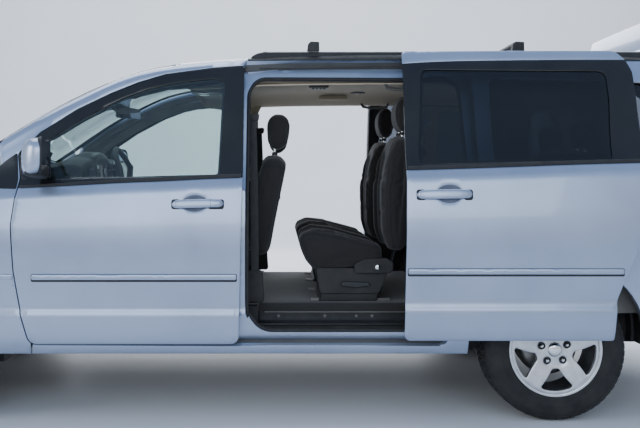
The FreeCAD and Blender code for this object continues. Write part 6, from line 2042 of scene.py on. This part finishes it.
liner_ys = [-690, -688, -676, -655, -625, -580, -500, -380, -200, 0, 200, 380, 500, 580, 625, 655, 676, 688, 690]
rings = []
for u in list(np.linspace(1262, 1330, 4)) + list(np.linspace(1400, 3560, 28)) + [3620, 3672]:
    base = roof_z(u) - 84.0
    front = 26.0 * float(smooth(u, 1330, 1262)) - 10.0 * float(smooth(u, 3560, 3672))
    row = []
    for y in liner_ys:
        a = abs(y)
        drop = 14.0 * (min(a, 380) / 380.0) ** 2 + 72.0 * float(smooth(a, 470, 690)) ** 1.2
        row.append((u, y * (0.93 + 0.07 * float(smooth(u, 1262, 1700))), base + front - drop))
    up = [(u, p[1], p[2] + 5.0 + 42.0 * float(smooth(abs(p[1]), 690, 560)) * 0.0) for p in row[::-1]]
    rings.append(row + up)
hl = rings_mesh("headliner_cloth", rings, BEIGE, angle=50, subdiv=1)
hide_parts("headliner")


def liner_z(u, y):
    a = abs(y)
    return roof_z(u) - 84.0 - 14.0 * (min(a, 380) / 380.0) ** 2 - 72.0 * float(smooth(a, 470, 690)) ** 1.2


for s in (-1, 1):
    nm = "left" if s < 0 else "right"
    # air outlets and lamps over the second row
    z = liner_z(2000, s * 200)
    prism(nm + "_roof_lamp_frame", rounded([(1940, s * 200 - 46), (2062, s * 200 - 46), (2052, s * 200 + 46), (1950, s * 200 + 46)], 16), z - 13, z + 3, CABIN_GREY,
          axis="z", bevel=5, segments=3)
    for j in range(4):
        prism("%s_roof_lamp_louvre_%d" % (nm, j), rounded([(1962 + 22 * j, s * 200 - 30), (1976 + 22 * j, s * 200 - 30), (1976 + 22 * j, s * 200 + 30),
              (1962 + 22 * j, s * 200 + 30)], 4), z - 17, z - 8, BLACK_GRAIN, axis="z", bevel=1.5)
    z = liner_z(2260, s * 480)
    lathe(nm + "_roof_outlet_ring", [(0.5, 2), (24, 2), (30, 14), (44, 12), (52, 2), (52, -4)], (2262, s * 486, z + 2), [CABIN_GREY], axis="z", n=40, sgn=-1.0)
    for j in (-1, 0, 1):
        block("%s_roof_outlet_vane_%d" % (nm, j), (2240, s * 486 + j * 13 - 3, z - 8), (2284, s * 486 + j * 13 + 3, z - 2), BLACK_GRAIN, bevel=1)
    z = liner_z(2110, s * 560)
    prism(nm + "_roof_console", rounded([(2016, s * 560 - 34), (2204, s * 560 - 34), (2204, s * 560 + 34), (2016, s * 560 + 34)], 32), z - 22, z + 6, BEIGE,
          axis="z", bevel=12, segments=4)
    # sun visor and the handle over the door
    z = liner_z(1360, s * 360) + 6
    prism(nm + "_sun_visor", rounded([(1272, s * 360 - 205), (1300, s * 360 - 215), (1300, s * 360 + 215), (1272, s * 360 + 205), (1252, s * 360)], 16)
          if False else rounded([(1282, s * 380 - 205), (1440, s * 380 - 195), (1440, s * 380 + 195), (1282, s * 380 + 205)], 30), z - 24, z - 8, BEIGE,
          axis="z", bevel=6, segments=3)
    for u0 in (2300,):
        zz = 1634
        sweep("%s_grab_handle_%d" % (nm, u0), [(u0, s * 655, zz + 12), (u0 + 12, s * 628, zz - 16), (u0 + 60, s * 622, zz - 24), (u0 + 120, s * 622, zz - 24),
              (u0 + 168, s * 628, zz - 16), (u0 + 180, s * 655, zz + 12)], 9, CABIN_GREY, n=12)
oc = prism("overhead_console", rounded([(1252, -95), (1560, -80), (1560, 80), (1252, 95)], 26), 1646, 1676, CABIN_GREY, axis="z", bevel=9, segments=3)
for s in (-1, 1):
    prism("map_lamp_%d" % s, rounded([(1292, s * 46 - 24), (1352, s * 46 - 24), (1352, s * 46 + 24), (1292, s * 46 + 24)], 12), 1641, 1652, AMBER_LENS,
          axis="z", bevel=3, segments=2)


def trim_paint(s_split):
    def f(c):
        return (c[:, 1] < s_split).astype(int)
    return f


S_BELT = float(s_from_z(np.array([2000.0]), np.array([1190.0]))[0])
for nm, mir in (("left", False), ("right", True)):
    panel(nm + "_front_opening_trim", SIDE, offset(APERT1, 66), holes=[offset(APERT1, 1)], mats=[CABIN_GREY, CABIN], depth=5, hem=2, grid=(34, 30),
          lift=INN - 27, mirror=mir, paint=trim_paint(S_BELT))
    panel(nm + "_rear_opening_trim", SIDE, offset(APERT2, 58), holes=[offset(APERT2, 1)], mats=[BEIGE, CABIN], depth=5, hem=2, grid=(34, 30),
          lift=INN - 33, mirror=mir, paint=trim_paint(S_BELT))
    qt = to_side([(2735, 535), (3590, 535), (3800, 700), (3860, 900), (3850, 1190), (2735, 1172)], [20, 60, 120, 80, 40, 20], 24)
    panel(nm + "_cargo_side_trim", SIDE, qt, mats=[CABIN_GREY], depth=5, hem=3, grid=(40, 36), lift=-112, mirror=mir)
    bead(nm + "_cargo_trim_roll", SIDE, to_side([(2760, 1150), (3830, 1168), (3830, 1180), (2760, 1162)], 4, 24), 7, CABIN, lift=-110, mirror=mir)
    up = to_side([(2735, 1178), (3850, 1196), (3795, 1400), (3700, 1640), (2735, 1662)], [10, 30, 60, 40, 20], 24)
    qh = offset(to_side(QUARTER_GLASS, (60, 80, 60, 80, 60), 22), -14)
    panel(nm + "_cargo_upper_trim", SIDE, up, holes=[qh], mats=[BEIGE], depth=5, hem=3, grid=(40, 36), lift=-96, mirror=mir)
    sgn = 1 if mir else -1
    # the belt on the pillar between the doors: its guide, the webbing and the reel cover
    sweep(nm + "_belt_webbing", [(1628, sgn * 690, 1462), (1634, sgn * 716, 1300), (1640, sgn * 742, 1000), (1642, sgn * 748, 760), (1642, sgn * 748, 640)],
          20, BLACK_GRAIN, flat=(20, 1.4, (0, 1, 0)), n=8)
    prism(nm + "_belt_guide", rounded([(1596, 1440), (1660, 1446), (1664, 1486), (1592, 1480)], 12), min(sgn * 676, sgn * 696), max(sgn * 676, sgn * 696),
          CABIN, bevel=4, segments=3)
    prism(nm + "_belt_reel_cover", rounded([(1590, 540), (1690, 540), (1680, 700), (1600, 700)], 18), min(sgn * 716, sgn * 752), max(sgn * 716, sgn * 752),
          CABIN, bevel=6, segments=3)

# floor covering with its edge rolled down into the step, and the step itself
FR = []
for u in [640, 690, 900, 1300, 1655, 1662, 1700, 2000, 2300, 2460, 2498, 2505, 2590]:
    well = 1660 <= u <= 2500
    w = 704.0 if well else 742.0
    lo = 489.0 if well else 528.0
    half = [(0, 531), (200, 531), (420, 531.5), (560, 531), (w - 22, 531), (w - 10, 529.5), (w - 3, 524 if well else 530), (w, 514 if well else 529.5),
            (w + 1, lo)]
    row = [(u, -y, z) for y, z in half[::-1]] + [(u, y, z) for y, z in half[1:]]
    FR.append(row)
rings_mesh("floor_carpet", FR, CARPET, closed=False, caps=False, angle=60)
FR = []
for u in np.linspace(2590, 3900, 12):
    w = 660.0
    half = [(0, 531), (300, 531), (w - 30, 531), (w, 531), (w + 2, 540)]
    FR.append([(u, -y, z) for y, z in half[::-1]] + [(u, y, z) for y, z in half[1:]])
rings_mesh("rear_floor_carpet", FR, CARPET, closed=False, caps=False, angle=60)
for s in (-1, 1):
    nm = "left" if s < 0 else "right"
    rings_mesh(nm + "_step_liner", [[(u, s * y, z) for y, z in [(702, 492), (706, 489), (709, 470), (711, 452), (716, 446), (724, 444.5), (780, 444),
               (806, 444), (818, 446), (828, 450), (829, 443), (716, 441.5), (703, 448)]] for u in np.linspace(1664, 2496, 20)], BLACK_GRAIN, angle=35)
    for j in range(5):
        sweep("%s_step_rib_%d" % (nm, j), [(1720, s * (730 + 18 * j), 445.5), (2440, s * (730 + 18 * j), 445.5)], 3, BLACK_GRAIN, flat=(3.5, 2.6, (0, 0, 1)), n=8)
    for j, u in enumerate((1760, 1992, 2150, 2228, 2400)):
        lathe("%s_step_screw_%d" % (nm, j), [(0.5, 5), (6, 4.5), (9, 2), (9, -3)], (u, s * 706.5, 466), [CABIN_GREY], axis="y", n=16, sgn=float(s))
    sweep(nm + "_step_edge_strip", [(1690, s * 707, 487), (2470, s * 707, 487)], 4, CABIN_GREY, flat=(4, 3.4, (0, 0, 1)), n=8)
    # door sill plates
    for k, (a, b) in enumerate(((660, 1540), (1700, 2470))):
        if k == 0:
            rings_mesh("%s_sill_plate_%d" % (nm, k), [[(u, s * y, z) for y, z in [(745, 531), (752, 536), (800, 536), (812, 528), (814, 500), (806, 498),
                       (800, 524), (750, 528)]] for u in np.linspace(a, b, 14)], BLACK_GRAIN, angle=35)

# ------------------------------------------------------------------ dashboard, steering wheel, inner mirror
def dash_ring(y):
    a = abs(y)
    end = float(smooth(a, 640, 742))
    hood = float(smooth(abs(y + 370), 210, 120))
    mid = float(smooth(a, 190, 110))
    top = 1254 - 34 * end + 10 * (1 - (y / 760.0) ** 2)
    pts = [(424, 1046), (432, 1120 - 30 * end), (470, 1160 - 40 * end), (560, 1206 - 30 * end), (640, top - 14), (700, top + 2 + 26 * hood), (752, top + 4 + 36 * hood),
           (796, top - 8 + 38 * hood), (812 + 10 * hood, top - 30 + 34 * hood), (806 - 22 * hood + 6 * mid, top - 62), (826 - 14 * hood + 12 * mid, 1156),
           (848 + 6 * mid, 1090), (852 + 4 * mid, 1040), (842, 968), (824, 930), (778, 896), (742, 760), (700, 632), (640, 570), (520, 604), (440, 800)]
    return [(u - 18 * end, y, z) for u, z in pts]


ys = [-748, -738, -700, -640, -585, -560, -520, -480, -420, -370, -320, -260, -220, -180, -155, -120, -60, 0, 60, 120, 155, 180, 220, 320, 440, 560, 640,
      700, 738, 748]
dash = rings_mesh("dashboard_shell", [dash_ring(y) for y in ys], CABIN, angle=34, subdiv=1)
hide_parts("dashboard")
prism("cluster_face", rounded([(-545, 1180), (-545, 1268), (-500, 1284), (-240, 1284), (-195, 1268), (-195, 1180)], 16), 776, 800, BLACK_GLOSS, axis="u", bevel=3)
for j, (yc, r) in enumerate(((-450, 44), (-290, 44), (-370, 34))):
    lathe("cluster_dial_%d" % j, [(0.5, 0), (r - 6, 0), (r - 3, 4), (r, 5), (r + 2, 0)], (801, yc, 1230), [CHROME if j < 2 else STEEL], axis="u", n=40)
prism("centre_stack", rounded([(-150, 960), (-158, 1238), (158, 1238), (150, 960)], 24), 820, 868, BLACK_GLOSS, axis="u", bevel=7, segments=3)
prism("stack_screen", rounded([(-86, 1120), (-86, 1196), (86, 1196), (86, 1120)], 8), 866, 872, DARK_GLASS, axis="u", bevel=2)
for j in range(3):
    lathe("stack_dial_%d" % j, [(0.5, 24), (17, 24), (20, 20), (22, 0)], (866, -88 + 88 * j, 1010), [CABIN_GREY], axis="u", n=32)
for j in range(6):
    block("stack_key_%d" % j, (866, -96 + 34 * j, 1072), (873, -70 + 34 * j, 1088), CABIN, bevel=2)
for j, yc in enumerate((-640, -200, 200, 640)):
    prism("dash_outlet_%d" % j, rounded([(yc - 46, 1150), (yc - 46, 1204), (yc + 46, 1204), (yc + 46, 1150)], 14), 806, 846, BLACK_GRAIN, axis="u", bevel=4,
          segments=3)
    for q in range(4):
        block("dash_outlet_vane_%d_%d" % (j, q), (838, yc - 38, 1158 + 11 * q), (850, yc + 38, 1161 + 11 * q), CABIN_GREY, bevel=0.8)
prism("glovebox_lid", rounded([(212, 930), (212, 1090), (600, 1090), (600, 930)], 26), 838, 862, CABIN, axis="u", bevel=7, segments=3)
prism("glovebox_latch", rounded([(380, 1054), (380, 1074), (440, 1074), (440, 1054)], 7), 858, 868, BLACK_GLOSS, axis="u", bevel=3)
prism("floor_console", rounded([(862, 532), (900, 700), (1060, 690), (1120, 640), (1130, 532)], 24), -110, 110, CABIN, bevel=10, segments=3)

TILT = math.radians(25.0)
AX = np.array([math.cos(TILT), 0.0, math.sin(TILT)])
E1, E2 = np.array([0.0, 1.0, 0.0]), np.array([-math.sin(TILT), 0.0, math.cos(TILT)])
WC = np.array([960.0, -370.0, 1150.0])


def on_wheel(r, a, d=0.0):
    return WC + AX * d + (E1 * math.cos(a) + E2 * math.sin(a)) * r


sw = sweep("steering_wheel_rim", [on_wheel(178, 2 * math.pi * i / 72) for i in range(72)], 15, CABIN, closed=True, n=14, body="steering_wheel_body")
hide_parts("steering_wheel")
hub = []
for d, k in ((-34, 0.80), (-30, 0.96), (-8, 1.0), (4, 0.93), (9, 0.72), (10.5, 0.3)):
    hub.append([on_wheel(k * (74 + 9 * math.cos(2 * t)), t, d) for t in np.linspace(0, 2 * math.pi, 40, endpoint=False)])
rings_mesh("steering_wheel_hub", hub, CABIN, body="steering_wheel_body", angle=50)
rings_mesh("steering_wheel_badge", [[on_wheel(19, t, d) for t in np.linspace(0, 2 * math.pi, 28, endpoint=False)] for d in (8, 12)], CABIN_GREY,
           body="steering_wheel_body", angle=40, bevel=1.5)
for j, a in enumerate((0, 180, 250, 290)):
    r = math.radians(a)
    path = [on_wheel(62 + 27 * i, r, -10 + 3.0 * i) for i in range(5)]
    sweep("steering_wheel_spoke_%d" % j, path, 16, CABIN_GREY if a in (250, 290) else CABIN, flat=(16 if a in (0, 180) else 10, 8, tuple(AX)), n=12,
          body="steering_wheel_body")
col = WC - AX * 46
sweep("steering_column", [WC - AX * 200, WC - AX * 120, WC - AX * 60, col], 44, CABIN, n=20)
for s in (-1, 1):
    c = WC - AX * 70
    sweep("column_stalk_%d" % s, [c + E1 * s * 36, c + E1 * s * 90 + E2 * 6, c + E1 * s * 150 + E2 * 12], 6.5, BLACK_GRAIN, n=12)

MY = math.radians(25.0)
mc = np.array([885.0, -8.0, 1530.0])
mx, my = np.array([math.cos(MY), -math.sin(MY), 0.0]), np.array([math.sin(MY), math.cos(MY), 0.0])


def mirror_ring(d, k, r=22):
    o = rounded([(-118 * k, -31 * k), (-112 * k, 29 * k), (-40, 34 * k), (40, 34 * k), (112 * k, 29 * k), (118 * k, -31 * k), (40, -30 * k), (-40, -30 * k)],
                [16, 20, 0, 0, 20, 16, 0, 0])
    o = even(o, 0, 60)
    return [tuple(mc + mx * d + my * a + np.array([0, 0, b])) for a, b in o]


im = rings_mesh("inner_mirror_shell", [mirror_ring(-22, 0.72), mirror_ring(-18, 0.88), mirror_ring(-8, 0.98), mirror_ring(6, 1.0), mirror_ring(10, 0.98)],
                CABIN, angle=50)
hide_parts("inner_mirror")
rings_mesh("inner_mirror_glass", [mirror_ring(9.5, 0.93), mirror_ring(11.5, 0.93)], MIRROR_GLASS, angle=40)
sweep("inner_mirror_stalk", [(838, 0, 1618), (852, 0, 1588), (874, -4, 1552), (880, -8, 1534)], 8, CABIN, n=12)

# ------------------------------------------------------------------ CAD pieces that stay in view
cad(["front_subframe", "rear_axle", "left_knuckle", "right_knuckle", "cowl_and_bulkhead", "door_hinges"], CHASSIS, 2.5)
cad(["exhaust"], STEEL, 0)
cad(["fuel_tank", "floor_pan"], UNDER, 5)
cad(["engine_block"], IRON, 8)

# ------------------------------------------------------------------ stage, light and camera
def floor_mat():
    m = Mat("studio_floor")
    v = m.coords()
    m.join(m.ramp(m.noise(v, 0.6, 3.0), [(0.3, (0.80, 0.81, 0.82)), (0.7, (0.84, 0.845, 0.85))]), m.b.inputs["Base Color"])
    m.set(Roughness=0.55)
    m.bump(m.noise(v, 40.0, 2.0), 0.02, 0.001)
    return m.m


fl = bpy.data.meshes.new("studio_floor")
segs = [(-30.0, 0.0), (9.0, 0.0)] + [(9.0 + 5.0 * math.sin(a), 5.0 - 5.0 * math.cos(a)) for a in np.linspace(0.1, math.pi / 2, 14)] + [(14.0, 20.0)]
vv = []
for yy, zz in segs:
    vv += [(-34.0, yy, zz - 0.0005), (34.0, yy, zz - 0.0005)]
fl.from_pydata(vv, [], [(2 * i, 2 * i + 1, 2 * i + 3, 2 * i + 2) for i in range(len(segs) - 1)])
fl.materials.append(floor_mat())
fl.shade_smooth()
floor = bpy.data.objects.new("studio_floor", fl)
SCENE.collection.objects.link(floor)


def area_light(name, loc, target, size, power, colour=(1, 1, 1)):
    ld = bpy.data.lights.new(name, "AREA")
    ld.shape = "RECTANGLE"
    ld.size, ld.size_y = size
    ld.energy = power
    ld.color = colour
    o = bpy.data.objects.new(name, ld)
    SCENE.collection.objects.link(o)
    o.location = loc
    d = Vector(target) - Vector(loc)
    o.rotation_euler = d.to_track_quat("-Z", "Y").to_euler()
    return o


lights = [
    area_light("top_soft", (0.0, 1.6, 7.5), (0, 0, 0.5), (11.0, 5.0), 470.0, (0.97, 0.985, 1.0)),
    area_light("camera_side", (-1.0, -9.0, 3.6), (0, 0, 1.0), (10.0, 3.2), 235.0, (0.83, 0.915, 1.0)),
    area_light("front_side", (-8.5, -4.0, 3.2), (-1, 0, 0.8), (3.5, 3.0), 170.0, (1.0, 0.99, 0.97)),
    area_light("far_side", (1.0, 8.0, 4.6), (0, 0, 1.0), (10.0, 3.0), 300.0, (0.96, 0.98, 1.0)),
    area_light("backdrop_light", (0.0, 5.2, 6.6), (0, 13.5, 3.4), (16.0, 3.0), 900.0, (0.99, 0.995, 1.0)),
]
world = bpy.data.worlds.new("studio")
SCENE.world = world
world.use_nodes = True
wt = world.node_tree
bg = wt.nodes["Background"]
wc = wt.nodes.new("ShaderNodeTexCoord")
ws = wt.nodes.new("ShaderNodeSeparateXYZ")
wn = wt.nodes.new("ShaderNodeMapRange")
wn.inputs["From Min"].default_value, wn.inputs["From Max"].default_value = -1.0, 1.0
wr = wt.nodes.new("ShaderNodeValToRGB")
wr.color_ramp.elements[0].position, wr.color_ramp.elements[0].color = 0.0, (0.30, 0.30, 0.31, 1)
wr.color_ramp.elements[1].position, wr.color_ramp.elements[1].color = 1.0, (0.36, 0.52, 0.86, 1)
for pos, col in ((0.47, (0.50, 0.52, 0.54, 1)), (0.51, (0.86, 0.89, 0.93, 1)), (0.58, (0.95, 0.97, 1.0, 1)), (0.72, (0.52, 0.70, 1.0, 1))):
    el = wr.color_ramp.elements.new(pos)
    el.color = col
wt.links.new(wc.outputs["Generated"], ws.inputs["Vector"])
wt.links.new(ws.outputs["Z"], wn.inputs["Value"])
wt.links.new(wn.outputs["Result"], wr.inputs["Fac"])
wt.links.new(wr.outputs["Color"], bg.inputs["Color"])
bg.inputs["Strength"].default_value = 0.9

cam_data = bpy.data.cameras.new("camera")
cam = bpy.data.objects.new("camera", cam_data)
SCENE.collection.objects.link(cam)
SCENE.camera = cam
cam_data.sensor_width = 36.0
cam_data.lens = 48.54
cam_data.shift_x, cam_data.shift_y = 0.0625, -0.0625
cam.location = ((1767.0 - X0) / 1000.0, -5.03, 1.178)
cam.rotation_euler = (math.radians(90), 0.0, 0.0)
